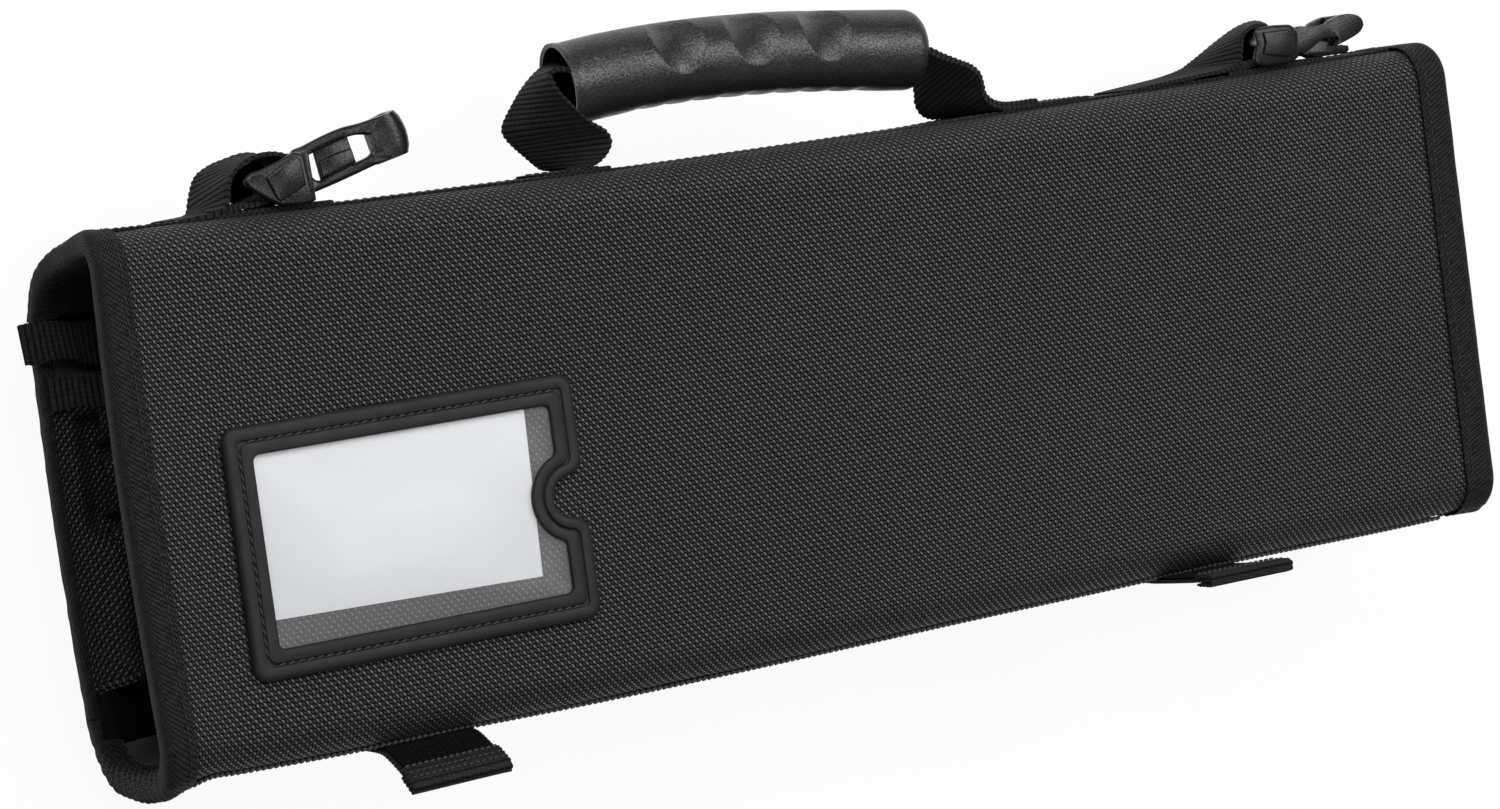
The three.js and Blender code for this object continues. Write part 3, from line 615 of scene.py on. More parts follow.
def build_binding(side):
    label = "right" if side > 0 else "left"
    section, reach = tape_section(12.3, 9.8, 0.95, -6.0, 0.1)
    seam, stitch_run = 237.0, 3.2

    def place(u, v):
        k = round(u * (len(section) - 1))
        end, lift = section[k]
        s = v * WALL_LENGTH
        top_arc = between(s, 0, 8, 34, 48)
        low_arc = between(s, FRONT_LOW + 8, FRONT_LOW + 22, WALL_LENGTH - 10, WALL_LENGTH)
        gathers = 0.34 * math.sin(2 * PI * s / 4.2 + 0.5 * ripple(0, s, 15, 3))
        gathers += 0.1 * math.sin(2 * PI * s / 2.3 + 1)
        pleat = (0.45 * top_arc + 1.7 * low_arc) * gathers
        flute = pleat * (0.35 + 0.65 * ease(end, 237, 242))
        stitch = 0.12 * math.cos(2 * PI * s / stitch_run) * (end < seam + 1.5)
        roll = 0.22 * ripple(end, s, 13, 20.0 + side)
        sewn = 1 - ease(abs(end - seam), 0.3, 1.3)
        lift += (flute + stitch + roll - 0.42 * sewn) * (1 if lift > -2.5 else -1)
        edge = 0.35 * ripple(0, s, 21, 33)
        if k < 4:
            edge = 0.35 * ripple(0, s, 9, 30 + side) + 0.15 * math.sin(2 * PI * s / stitch_run)
        reached = end + edge * (k < 4 or 7 < k < 11) - 0.5 * abs(pleat) * (6 < k < 12)
        return on_wall(side * min(reached, BOUND_END + 0.1), s, -lift)

    sheet_piece(f"end_binding_{label}", "tray", TAPE, "tape", (f"tray_binding_{label}",),
                (len(section) - 1, 330), place, (reach, WALL_LENGTH), 0.5, -1, crease=70)

    # The way straight out of the wall: +z on the front panel, from the middle of a corner elsewhere
    def up(at):
        y, z = at.y + settle(at.x), at.z
        out_y, out_z = y - clamp(y, -65, 56), z - clamp(z, 18, 46)
        if abs(out_y) < 0.5 and abs(out_z) < 0.5:
            return Vector((0, 0, 1))
        return Vector((0, out_y, out_z)) if z < 58 else Vector((0, y - clamp(y, -68, 68), z - 48))

    def seam_line(x, depth):
        return [on_wall(side * x, 3 + i * (WALL_LENGTH - 6) / 60, depth) for i in range(61)]

    stitch_piece(f"end_stitches_{label}", "tray", [
        {"line": seam_line(236.9, -0.95), "up": up, "length": 2.2, "radius": 0.26, "sink": -0.02},
        {"line": seam_line(237.6, 5.95), "up": up, "length": 2.2},
    ])


# Webbing along the spine, which dips under the grip, the hook loops and the sewn feet of the handle
def dip(x):
    return 0.55 * between(x, -75, -55, 48, 68)


def flat_run(x0, x1, y, low=WEB_LOW, top=WEB_TOP, steps=14):
    run = [x0 + (x1 - x0) * i / steps for i in range(steps + 1)]
    return [[bowed(x, y, z) for x in run] for z in (top, low)]


def build_webbing():
    edges = [[(x, y - dip(x), z) for x, y, z in edge] for edge in flat_run(-233, 233, 80.35, 23.2, 47.8, 60)]
    webbing_piece("spine_strip", "tray", [edges], 0.9, ("spine_webbing",), relief=0.08, selvedge=0.26)
    near = [(-209, 79.7, 48), (-203, 80, 48), (-198.4, 80.3, 48.2), (-194.8, 81.7, 48.2),
            (-193.1, 84.2, 48.2), (-192.7, 87.3, 48.2), (-191.6, 90.2, 48.2), (-189.2, 92.7, 48.2),
            (-185.3, 94.9, 48.2), (-181.2, 95.8, 48.1), (-176.6, 95.6, 48), (-172.4, 94, 47.8),
            (-170.8, 91.2, 47.8), (-170.9, 87.8, 47.8), (-173.4, 84.8, 47.8), (-179, 82.4, 47.8),
            (-184, 81.5, 47.7), (-189, 81.3, 47.6), (-194, 81.1, 47.5), (-199, 81, 47.4)]
    far = [(-209, 79.7, 23.4), (-206, 79.7, 23.3), (-203.4, 79.8, 23.2), (-201.2, 79.9, 23.2),
           (-199.4, 80, 23.2), (-197, 81.2, 23.2), (-196.1, 83.8, 23.2), (-195.2, 86.5, 23.2),
           (-193.8, 89.9, 23.2), (-191.8, 92.2, 23.2), (-187.8, 94.2, 23.2), (-183.2, 95.4, 23.2),
           (-177.6, 96.5, 23.2), (-173.2, 96.1, 23.3), (-170.8, 93.8, 23.4), (-170.6, 90.2, 23.4),
           (-171.4, 86.8, 23.4), (-176, 83.7, 23.4), (-184, 81.6, 23.4), (-197, 81, 23.4)]
    webbing_piece("loop_left", "tray", [(near, far)], 1.4, ("hook_loop_left",), relief=0.12, paired=True)
    webbing_piece("loop_left_foot", "tray", [flat_run(-200, -160, 81.25)], 1.3, relief=0.1)
    near = [(128, 78.2, 47.6), (140, 79.2, 48), (154, 80.2, 48.2), (165, 80.9, 48.2), (170.6, 82.4, 48.2),
            (172, 86.8, 48.2), (173.6, 91.6, 48.2), (176.9, 93.7, 48.1), (180.9, 94.1, 48),
            (184.6, 92.8, 47.6), (186.4, 89.4, 47.6), (184.6, 85.4, 47.6), (180, 82.4, 47.6),
            (176, 81.3, 47.6), (171, 80.6, 47.5), (166, 80.3, 47.4)]
    far = [(128, 78.2, 23.4), (141, 79.3, 23.3), (152, 80.2, 23.2), (159, 81.2, 23.2), (163.7, 82.3, 23.2),
           (167.4, 83.9, 23.2), (173.6, 86.9, 23.2), (181.4, 90.8, 23.2), (189.6, 94.2, 23.2),
           (197, 95.2, 23.3), (202, 92.6, 23.4), (202, 87.6, 23.4), (198, 84.2, 23.4), (190, 82, 23.4),
           (180, 81, 23.4), (168, 80.4, 23.4)]
    webbing_piece("loop_right", "tray", [(near, far)], 1.4, ("hook_loop_right",), relief=0.12, paired=True)
    webbing_piece("loop_right_foot", "tray", [flat_run(166, 206, 81.25)], 1.3, relief=0.1)
    for side, x0, x1, y in (("left", -88, -67, 81.1), ("right", 76, 110, 81.3)):
        webbing_piece(f"handle_seat_{side}", "tray", [flat_run(x0, x1, y)], 1.1, (f"handle_foot_{side}",),
                      relief=0.08)
    rows = []
    for x0, x1, y in [(-86, -70, 81.8), (80, 108, 81.9), (-206.5, -201, 80.3), (132, 148, 80.6)]:
        corners = [(x0, 25.5), (x1, 25.5), (x1, 45.5), (x0, 45.5), (x0, 25.5)]
        for a, b in [*zip(corners, corners[1:]), (corners[0], corners[2]), (corners[3], corners[1])]:
            xs, zs = ([p + (q - p) * i / 4 for i in range(5)] for p, q in zip(a, b))
            line = [bowed(x, y, z) for x, z in zip(xs, zs)]
            rows.append({"line": line, "up": (0, 1, 0), "pitch": 2.6, "length": 2.0})
    for z in (24.9, 46.1):
        line = [(x, 80.85 - settle(x) - dip(x), z) for x in range(-232, 233, 8)]
        rows.append({"line": line, "up": (0, 1, 0), "pitch": 3.0, "length": 2.2, "radius": 0.22})
    stitch_piece("spine_stitches", "tray", rows, "webbing")


# The two webbing ends of the handle, from inside the grip down to their seats on the spine
def build_handle_webbing():
    near = [(-52, 104, 45.4), (-63, 105.2, 46), (-72, 107.2, 46.4), (-79, 109.6, 46.8), (-82.8, 108.8, 47),
            (-82.6, 105.8, 47), (-80.8, 102.4, 47), (-76.4, 97, 47), (-71.5, 92.1, 47), (-67.2, 88.9, 47.2),
            (-65.9, 85.4, 47.4), (-68.2, 81.9, 47.6), (-72, 79.4, 47.6), (-76, 78.6, 47.6),
            (-82, 78.5, 47.6)]
    far = [(-52, 107.4, 26), (-62, 108.2, 25.8), (-68, 110.6, 25), (-73.4, 111.1, 24.4),
           (-80.7, 106.2, 24.2), (-86.4, 100, 24), (-90.2, 94.6, 23.8), (-89.9, 91.3, 23.6),
           (-86.1, 86.6, 23.4), (-81.4, 81.6, 23.4), (-78.6, 79.3, 23.4), (-75, 78.5, 23.4),
           (-70, 78.3, 23.4)]
    left = webbing_piece("handle_strap_left", None, [(near, far)], 1.6, ("handle_webbing_left",), relief=0.12)
    near = [(28, 103.4, 44.8), (42, 102.8, 45.2), (51.6, 100.6, 46), (56.6, 97.9, 46.6), (61.3, 95.8, 46.9),
            (66.6, 93.3, 47), (69.4, 90.4, 47.2), (70.1, 87, 47.2), (70.4, 83.6, 47.4), (73.2, 80.7, 47.6),
            (79, 79.2, 47.6), (90, 79.1, 47.6)]
    far = [(28, 103.6, 25.8), (44, 100.8, 25.4), (53, 96.6, 25), (57.8, 91.8, 24.6), (58.8, 87.6, 24.2),
           (58.6, 83.8, 24), (60.4, 80.6, 23.8), (64.6, 78.7, 23.6), (72, 78.1, 23.4), (79, 78.1, 23.4),
           (86, 78.2, 23.4), (94, 78.2, 23.4)]
    right = webbing_piece("handle_strap_right", None, [(near, far)], 2.9, ("handle_webbing_right",),
                          relief=0.12, selvedge=0.36)
    for piece in (left, right):
        in_frame((0, 80.0, WEB_Z))
        in_frame((0, 100.0, WEB_Z))
        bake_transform(piece)


# Moulded grip: an open-ended tube with finger scoops, a rim and a scalloped underside
def build_grip():
    arch = [(-71.4, 104.9), (-58, 106.2), (-39, 107.1), (-19, 107), (1.5, 106.1), (17, 104.8), (33, 103.2),
            (53.2, 101.2)]
    steps, grip_radius = 200, 13.0
    centre, _ = smooth_line([(x, y, WEB_Z) for x, y in arch], steps)
    stations = [("core", 0.5), ("core", 0.13), ("bore", 0.1), ("bore", 0.03), ("lip", 0.003)]
    stations += [("rim", 0.0), ("rim", 0.005), ("rim", 0.01), ("neck", 0.016), ("neck", 0.022)]
    stations += [("out", 0.026 + 0.934 * i / 210) for i in range(211)]
    stations += [("round", 0.96 + 0.04 * i / 6) for i in range(1, 7)]
    stations += [("mouth", 1.0), ("mouth", 0.985), ("core", 0.96), ("core", 0.5)]
    scale = {"out": 1.0, "rim": 1.03, "neck": 1.005, "lip": 0.93, "bore": 0.9, "core": 0.0, "mouth": 0.6,
             "round": 1.0}
    scoops = [-37.2, -10.9, 15.2]

    def place(u, v):
        kind, share = stations[round(v * (len(stations) - 1))]
        angle = 2 * PI * u
        k = clamp(share) * steps
        i = min(int(k), steps - 1)
        at = centre[i].lerp(centre[i + 1], k - i)
        forward = (centre[i + 1] - centre[i]).normalized()
        up = Vector((-forward.y, forward.x, 0))
        lean = math.degrees(math.atan2(math.sin(angle), math.cos(angle)))
        radius = grip_radius * scale[kind]
        if kind == "core":
            return at + Vector((0, 0, 1)) * 11.0 * math.cos(angle) + up * 4.6 * math.sin(angle)
        if kind == "round":
            t = (share - 0.96) / 0.04
            radius -= 3.4 * (1 - math.sqrt(1 - (0.97 * t) ** 2)) / 0.757
        if kind == "out":
            side = lean if lean > -90 else lean + 360
            for scoop in scoops:
                over = ((at.x - scoop) / 8.8) ** 2 + ((side - 37) / 55) ** 2
                if over < 1:
                    radius -= 2.5 * (1 - over) * (1 - 0.5 * ease(side, 60, 90))
            under = abs(((lean + 90) + 180) % 360 - 180)
            band = (1 - ease(under, 10, 30)) * between(at.x, -58, -52, 34, 40)
            radius -= band * (0.75 - 0.6 * abs(math.sin(PI * (at.x + 50) / 10.1)) ** 0.5)
        slant = -(3.9 + 0.9 * math.cos(angle)) * (1 - ease(share, 0.0, 0.17)) * (share < 0.3)
        at = at + forward * slant
        return at + Vector((0, 0, 1)) * radius * math.cos(angle) + up * radius * math.sin(angle)

    sheet_piece("moulded_grip", "handle", GRIP, "plastic", ("handle_grip",), (144, len(stations) - 1), place,
                (82, 130), crease=38)
    bm = bmesh.new()
    tilt = math.radians(27)
    seam = [at + Vector((0, math.sin(tilt), math.cos(tilt))) * (grip_radius + 0.03) for at in centre[8:190:3]]
    seam = [p for p in seam if min(abs(p.x - c) for c in scoops) > 8.6]
    for a, b in zip(seam, seam[1:]):
        if (b - a).length < 4:
            stitches(bm, [a, a.lerp(b, 0.5), b], (0, 0.45, 0.89), pitch=3, length=3.2, radius=0.2, sink=0.02)
    mark = Matrix.Rotation(-0.5, 4, "X") @ Matrix.Diagonal((1.7, 0.9, 0.3, 1))
    bmesh.ops.create_uvsphere(bm, u_segments=20, v_segments=8, radius=1.0,
                              matrix=Matrix.Translation((-66.0, 111.5, 46.8)) @ mark)
    shape_done("grip_parting_line", bm, "handle", GRIP, "plastic")


# Snap hooks: a bracket that holds the webbing, a plate or neck, a tip and a springy tongue.
# A block is an outline in x and y, drawn from z low to z high, with its sharp edges rounded
def outline_block(bm, outline, low, high, bevel):
    verts = [bm.verts.new((x, y, low)) for x, y in outline]
    raised = bmesh.ops.extrude_face_region(bm, geom=[bm.faces.new(verts)])["geom"]
    top = [v for v in raised if isinstance(v, bmesh.types.BMVert)]
    bmesh.ops.translate(bm, vec=(0, 0, high - low), verts=top)
    faces = {f for v in verts + top for f in v.link_faces}
    bmesh.ops.recalc_face_normals(bm, faces=list(faces))
    corners = {e for f in faces for e in f.edges if len(e.link_faces) == 2 and e.calc_face_angle(0) > 0.5}
    bmesh.ops.bevel(bm, geom=list(corners), offset=bevel, offset_type="OFFSET", affect="EDGES",
                    segments=3, profile=0.5, material=-1, clamp_overlap=True)


# A flat plate with a window in it: both outlines run the same way round from the same side
def windowed_plate(bm, outer, inner, low, high, count=96):
    rim, hole = smooth_line(outer, count, closed=True)[0], smooth_line(inner, count, closed=True)[0]
    middle, half = (low + high) / 2, (high - low) / 2
    rings = [(0, 0, 0.3), (0, 0, -0.35), (0, 0.25, -0.75), (0, 0.8, -1), (1, 0.9, -1), (1, 0.3, -0.75),
             (1, 0, -0.35), (1, 0, 0.25), (1, 0.3, 0.68), (1, 1.1, 0.96), (0, 1.4, 1), (0, 0.6, 0.86),
             (0, 0.15, 0.6)]

    def place(a, b):
        k = round(a * count) % count
        side, inset, level = rings[round(b * len(rings)) % len(rings)]
        edge = Vector((*rim[k][:2], 0)), Vector((*hole[k][:2], 0))
        inward = (edge[1] - edge[0]).normalized()
        at = edge[side] + inward * (inset if side == 0 else -inset)
        return Vector((at.x, at.y, middle + half * level))

    laid_grid(bm, count, len(rings), place, (60, 12))


# Two side arms, the cross piece between them and the bar that the webbing runs round
def bracket(bm, arm, pad, cross, bar, lean=0.0):
    solid = bmesh.new()
    for low, high in ((20.2, 22.9), (48.5, 51.2)):
        outline_block(solid, arm, low, high, 1.1)
    outline_block(solid, pad, 50.8, 52.1, 0.9)
    outline_block(solid, cross, 21.0, 50.4, 0.9)
    turn = Matrix.Translation((*bar, 35.7))
    bmesh.ops.create_cone(solid, cap_ends=True, segments=20, radius1=2.0, radius2=2.0, depth=28.6, matrix=turn)
    for vert in solid.verts:
        vert.co.x += lean * (vert.co.z - WEB_Z - 1.3)
    mesh = bpy.data.meshes.new("bracket")
    solid.to_mesh(mesh)
    solid.free()
    bm.from_mesh(mesh)
    bpy.data.meshes.remove(mesh)


def hook_piece(name, bm, body, node):
    flat_uv(bm)
    shape_done(name, bm, body, PLASTIC, "plastic", (node,), crease=35)


def build_hook_left():
    bm = bmesh.new()
    arm = [(-167, 80), (-167.8, 84.6), (-168.7, 94.3), (-171.4, 95.5), (-176.6, 93.5), (-182.9, 91.5),
           (-186.5, 90.9), (-188.8, 88.9), (-187.7, 86.9), (-185.4, 84.9), (-181.3, 82), (-178.1, 80.1),
           (-171.1, 79.6)]
    pad = [(-169.6, 85.2), (-170.3, 93.2), (-172.1, 94.3), (-182, 89), (-179.3, 82), (-178.1, 81.4)]
    cross = [(-166.4, 80.2), (-166.8, 94.4), (-168.4, 95.4), (-169.2, 94.2), (-169, 80)]
    bracket(bm, arm, pad, cross, (-173.3, 88.9))
    outer = [(-132.4, 96.2), (-133.2, 100.6), (-134.6, 102.8), (-137.5, 102.5), (-143.8, 101.3),
             (-149.9, 100.6), (-156.2, 99), (-163.2, 96.7), (-166.8, 95.6), (-168.2, 91.5), (-167.6, 84.5),
             (-165.8, 82), (-163.2, 82.2), (-158.6, 83.2), (-152.4, 84.8), (-146, 86.6), (-139.7, 88.4),
             (-133.6, 89.9), (-131.9, 92)]
    inner = [(-140.7, 94.4), (-141.3, 96.9), (-143.6, 97.7), (-146.8, 97.8), (-150.5, 97), (-156.8, 95.2),
             (-161.2, 93.9), (-162.9, 92.4), (-162.4, 89.4), (-161.1, 86.9), (-158.8, 85.9), (-151.8, 88),
             (-146.3, 89.8), (-142.6, 91), (-141.2, 92.2)]
    windowed_plate(bm, outer, inner, 35.2, 38.4)
    along, across = Vector((0.974, 0.225, 0)), Vector((-0.225, 0.974, 0))
    middle, steps = Vector((-133.9, 96.4, 34.1)), 22
    side = [-1, -0.94, -0.7, -0.35, 0, 0.35, 0.7, 0.94, 1]
    profile = [*((w, 1) for w in side), (1, 0.5), (1, -0.5)]
    profile += [(-w, -level) for w, level in profile]

    def rolled(a, b):
        w, level = profile[round(b * len(profile)) % len(profile)]
        step = a * steps
        start = clamp(1 - step / 4)
        angle = math.radians(90 - 205 * max(0.0, step - 4) / (steps - 4))
        thin = 0.8 if abs(w) > 0.9 and abs(level) == 1 else 1
        radius = 3.1 + 1.6 * level * thin * (1 - 0.3 * ease(step, 18, steps))
        wide = 6.7 * w * (1 - 0.05 * ease(step, 17, steps))
        reach = radius * math.cos(angle) - 7.5 * start + 1.5 * (1 - w * w) * max(0.0, math.cos(angle))
        height = radius * math.sin(angle) - 0.9 * start ** 1.5
        return middle + across * wide + along * reach + Vector((0, 0, height))

    laid_grid(bm, steps, len(profile), rolled, (30, 30), closed=True)
    hook_piece("hook_frame_left", bm, "hook_left", "snap_hook_left")
    # The tongue is a pad in the window between two thin rails behind the plate
    bm = bmesh.new()
    web = [(-144.8, 88.9), (-147, 98.6), (-152, 98.6), (-158.6, 96.6), (-157, 85.4), (-151.4, 86.6)]
    outline_block(bm, web, 32.4, 33.7, 0.3)
    pad = [(-145.4, 89.4), (-146.4, 94.2), (-151.2, 93.3), (-157.6, 91.2), (-156.9, 86.2), (-151.4, 87.4)]
    outline_block(bm, pad, 33.4, 34.9, 0.5)
    for sign in (-1, 1):
        ends = (-2.2, 0.7), (-30.5, 0.7), (-30.5, -0.7), (-2.2, -0.7)
        rail = [middle + along * u + across * (sign * 6.0 + w) for u, w in ends]
        rail = [(p.x, p.y - 0.35 * sign) for p in rail]
        outline_block(bm, rail, 32.8, 34.2, 0.3)
    bar = [middle + along * u + across * w for u, w in ((-1.4, 6.4), (-3.6, 6.4), (-3.6, -6.4), (-1.4, -6.4))]
    outline_block(bm, [(p.x, p.y) for p in bar], 32.9, 34.1, 0.3)
    hook_piece("hook_tongue_left", bm, "gate_left", "hook_gate_left")


def build_hook_right():
    bm = bmesh.new()
    arm = [(200.9, 88.2), (200.8, 91), (198.2, 93.1), (191, 93.6), (184.4, 93.3), (182.9, 91.8), (184, 88.3),
           (181.8, 84.2), (182.4, 81.2), (186, 80.2), (196.1, 80.2), (199.6, 81.4)]
    pad = [(198.4, 83.4), (198.6, 90.4), (197, 91.6), (186.6, 91.8), (187.2, 88.2), (185.6, 84.2),
           (196, 82.4)]
    cross = [(200.6, 82), (200.6, 91.2), (198.2, 92.6), (196, 92.6), (196, 81.2), (199, 81.2)]
    bracket(bm, arm, pad, cross, (188.2, 88.4), -0.5)
    neck = [(199.4, 83.4), (202.2, 83), (205.6, 84.5), (210.2, 86.7), (213.9, 86.8), (216.4, 86.6),
            (216.2, 85), (214.6, 83.7), (219.6, 85), (225.1, 87), (227.4, 89.4), (227, 91.6), (225.2, 93.1),
            (221.8, 93.9), (218.4, 93.8), (213.2, 92.3), (212, 91.5), (205, 91.4), (199.4, 91.4)]
    outline = [(p.x, p.y) for p in smooth_line([(*p, 0) for p in neck], 60, closed=True)[0][:60]]
    for low, high in ((29.6, 32.4), (40.2, 43.0)):
        outline_block(bm, outline, low, high, 0.9)
    outline_block(bm, [(x, y) for x, y in outline if x < 206.5], 31.4, 41.2, 0.3)
    outline_block(bm, [(x, y) for x, y in outline if x > 217.5], 31.4, 41.2, 0.3)
    hook_piece("hook_frame_right", bm, "hook_right", "snap_hook_right")
    bm = bmesh.new()
    tongue = [(203.4, 82), (206.6, 81.7), (208.6, 80.7), (221.6, 80.8), (222.9, 81.6), (222.8, 83.3),
              (217, 83.9), (215.4, 85.8), (211, 86.4), (206, 84.9), (203.6, 83.8)]
    outline_block(bm, tongue, 33.2, 39.4, 0.4)
    for u in (216, 218, 220):
        outline_block(bm, [(u, 83.1), (u + 0.9, 83.1), (u + 0.9, 83.8), (u, 83.8)], 33.8, 38.8, 0.15)
    hook_piece("hook_tongue_right", bm, "gate_right", "hook_gate_right")


# Name window: moulded frame with a thumb notch, a sewing groove, clear film and a blank card
WINDOW = (-211.4, -97.4, -56.4, 18.6)
NOTCH_X, NOTCH_Y, NOTCH_R = -101.9, -18.6, 6.3
CONTOUR_STEPS = 262
CARD_SIZE = (89.0, 51.0, 0.32)


def frame_contour(share, inset):
    x0, x1, y0, y1 = WINDOW[0] + inset, WINDOW[1] - inset, WINDOW[2] + inset, WINDOW[3] - inset
    corner = max(1.0, 4.6 - inset * 0.8) if inset < 4.2 else max(0.9, 2.6 - (inset - 4.2) * 0.1)
    deep, lip = NOTCH_R + 0.85 * inset, max(2.5, 6 - 0.8 * inset)
    rise = math.sqrt((deep + lip) ** 2 - (x1 - lip - NOTCH_X) ** 2)
    meet = math.degrees(math.atan2(rise, x1 - lip - NOTCH_X))
    parts = [(14, (NOTCH_X, NOTCH_Y), deep, 180, meet), (8, (x1 - lip, NOTCH_Y + rise), lip, meet - 180, 0),
             (14, (x1, NOTCH_Y + rise), (x1, y1 - corner)), (8, (x1 - corner, y1 - corner), corner, 0, 90),
             (60, (x1 - corner, y1), (x0 + corner, y1)), (8, (x0 + corner, y1 - corner), corner, 90, 180),
             (40, (x0, y1 - corner), (x0, y0 + corner)), (8, (x0 + corner, y0 + corner), corner, 180, 270),
             (60, (x0 + corner, y0), (x1 - corner, y0)), (8, (x1 - corner, y0 + corner), corner, 270, 360),
             (12, (x1, y0 + corner), (x1, NOTCH_Y - rise)), (8, (x1 - lip, NOTCH_Y - rise), lip, 0, 180 - meet),
             (14, (NOTCH_X, NOTCH_Y), deep, 360 - meet, 180)]
    at = (share % 1.0) * CONTOUR_STEPS
    for steps, first, *rest in parts:
        if at <= steps + 1e-6:
            break
        at -= steps
    t = at / steps
    if len(rest) == 1:
        return tuple(a + (b - a) * t for a, b in zip(first, rest[0]))
    radius, start, end = rest
    angle = math.radians(start + (end - start) * t)
    return first[0] + radius * math.cos(angle), first[1] + radius * math.sin(angle)


def build_name_window():
    profile = [(0, 60), (0, 61.3), (0.35, 62), (1.1, 62.55), (1.9, 62.72), (3.85, 62.75), (4.05, 62.62),
               (4.15, 62.1), (4.55, 61.9), (4.95, 62.1), (5.05, 62.62), (5.25, 62.75), (8.1, 62.75),
               (8.5, 62.6), (8.8, 62.1), (8.85, 60)]

    def place(u, v):
        inset, z = profile[round(v * len(profile)) % len(profile)]
        return Vector((*frame_contour(u, inset), z))

    sheet_piece("window_frame", "tray", RUBBER, "frame", ("id_frame",), (CONTOUR_STEPS, len(profile)), place,
                (380, 22), crease=55)
    rows = []
    for first, last in [(44, 104), (112, 152), (160, 220)]:
        steps = [(first + (last - first) * i / 60) / CONTOUR_STEPS for i in range(61)]
        rows.append({"line": [(*frame_contour(step, 4.55), 62.42) for step in steps], "up": (0, 0, 1),
                     "pitch": 3.0, "length": 2.7, "radius": 0.42, "lean": 0.22})
    stitch_piece("window_stitches", "tray", rows, "frame")

    bm = bmesh.new()
    edge = [bm.verts.new((*frame_contour(i / 131, 7.4), 61.5)) for i in range(131)]
    bmesh.ops.triangulate(bm, faces=[bm.faces.new(edge)])
    flat_uv(bm)
    thicken(shape_done("window_film", bm, "tray", FILM, "film", ("id_window",)), 0.25, 0)

    bm = bmesh.new()
    turn = Matrix.Rotation(math.radians(-1.38), 4, "Z")
    place = Matrix.Translation((-159.0, -14.5, 60.85)) @ turn @ Matrix.Diagonal((*CARD_SIZE, 1))
    bmesh.ops.create_cube(bm, size=1.0, matrix=place)
    bmesh.ops.bevel(bm, geom=bm.edges[:], offset=0.1, affect="EDGES", segments=2, profile=0.5, material=-1)
    flat_uv(bm)
    shape_done("name_card", bm, "card", CARD, "card", ("id_card",))


# Pieces inside the tray and along its bottom wall
HEM = {"rib": 1.2, "bead": 1.6, "relief": 0.05, "selvedge": 0.2}


def build_tray_inside():
    edges = [[bowed(x, -80.75, z) for x in range(-233, 234, 6)] for z in (48.3, 20.2)]
    webbing_piece("bottom_loop_strip", "tray", [edges], 0.8, ("bottom_loop_tape",), FUZZ, "fuzzy",
                  rib=1.4, bead=1.6, relief=0.05, selvedge=0.34)
    stitch_piece("bottom_stitches", "tray", [
        {"line": [bowed(x, -81.2, z) for x in range(-230, 231, 8)], "up": (0, -1, 0),
         "pitch": 3.0, "length": 2.2, "radius": 0.2} for z in (22.2, 45.4)], "fuzzy")
    # The selvedge cord's lighter yarn colour is painted light against the shade it lies in
    rope = {"line": [bowed(x, -80.45, 50.0) for x in range(-233, 234, 6)], "up": (0, -0.35, 0.94),
            "pitch": 2.0, "length": 2.4, "radius": 0.8, "lean": 0.6}
    stitch_piece("bottom_selvedge", "tray", [rope], "fuzzy", LIT_EDGE_CORD)

    length, width = 488, 15.4

    def lip(u, v):
        x, y = (u - 0.5) * length, -71.2 + v * width
        return bowed(x, y, 7.1 + 0.3 * ripple(x, y, 24, 50))

    # The flap's near-black cloth is painted shade in the pit below the tunnel cloth
    sheet_piece("dust_flap", "tray", LIP_CLOTH_IN_SHADE, "cover", ("dust_lip",), (90, 8), lip, (length, 15), 0.7)

    # Long pocket: front, two side gussets and a sewn margin
    outline = [(-64, 55), (-58.6, 54.9), (-57.6, 53.6), (-57.6, 38), (-56.6, 36.3), (-54.6, 36), (-34, 35.9),
               (-12.6, 36), (-10.4, 36.3), (-9.4, 38), (-9.4, 53.6), (-8.4, 54.9), (-3, 55)]
    length, steps = 291, 60
    line, run = smooth_line([(0, y, z) for y, z in outline], steps)

    def pocket(u, v):
        x = -231.3 + u * length
        at = line[round(v * steps)]
        z = at.z + (54.6 - at.z) * ease(x, 44, 58) * 0.9
        bulge = 0.9 * ripple(x, at.y, 40, 60) * (1 - ease(at.z, 36, 52))
        return bowed(x, at.y, z + bulge)

    sheet_piece("inner_pocket", "tray", INNER_CLOTH_IN_SHADE, "cover", ("tray_pocket",), (80, steps), pocket,
                (length, run), 0.8)
    hem = [[bowed(x, p.y, p.z) for p in line[6:55]] for x in (-231.6, -222)]
    webbing_piece("pocket_hem", "tray", [hem], 1.5, (), TAPE, "tape", **HEM)


# Hinge tape between the spine and the lid: one cloth for both sides of the fold
def build_hinge():
    fold, on_spine, on_lid = 0.56, 19, 14  # share of the tape before the fold, and the two widths

    def crossing(u, v):
        x = (u - 0.5) * 2 * HALF
        lift = 0.72 + 0.1 * ripple(x, v * 30, 14, 70)
        if v < fold:
            return on_wall(x, (fold - v) / fold * on_spine, -lift)
        return bowed(x, 56 - (v - fold) / (1 - fold) * on_lid, -lift)

    piece = sheet_piece("hinge_cloth", None, TAPE, "tape", ("hinge_tape_spine", "hinge_tape_lid"), (130, 25),
                        crossing, (492, 33), 0.7, pulled=True)
    in_frame((0, 56.6, -1.4))
    in_frame((0, 53.8, -1.4))
    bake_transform(piece)


# Back lid
LID_LOW, LID_TOP = -62.5, 54.4


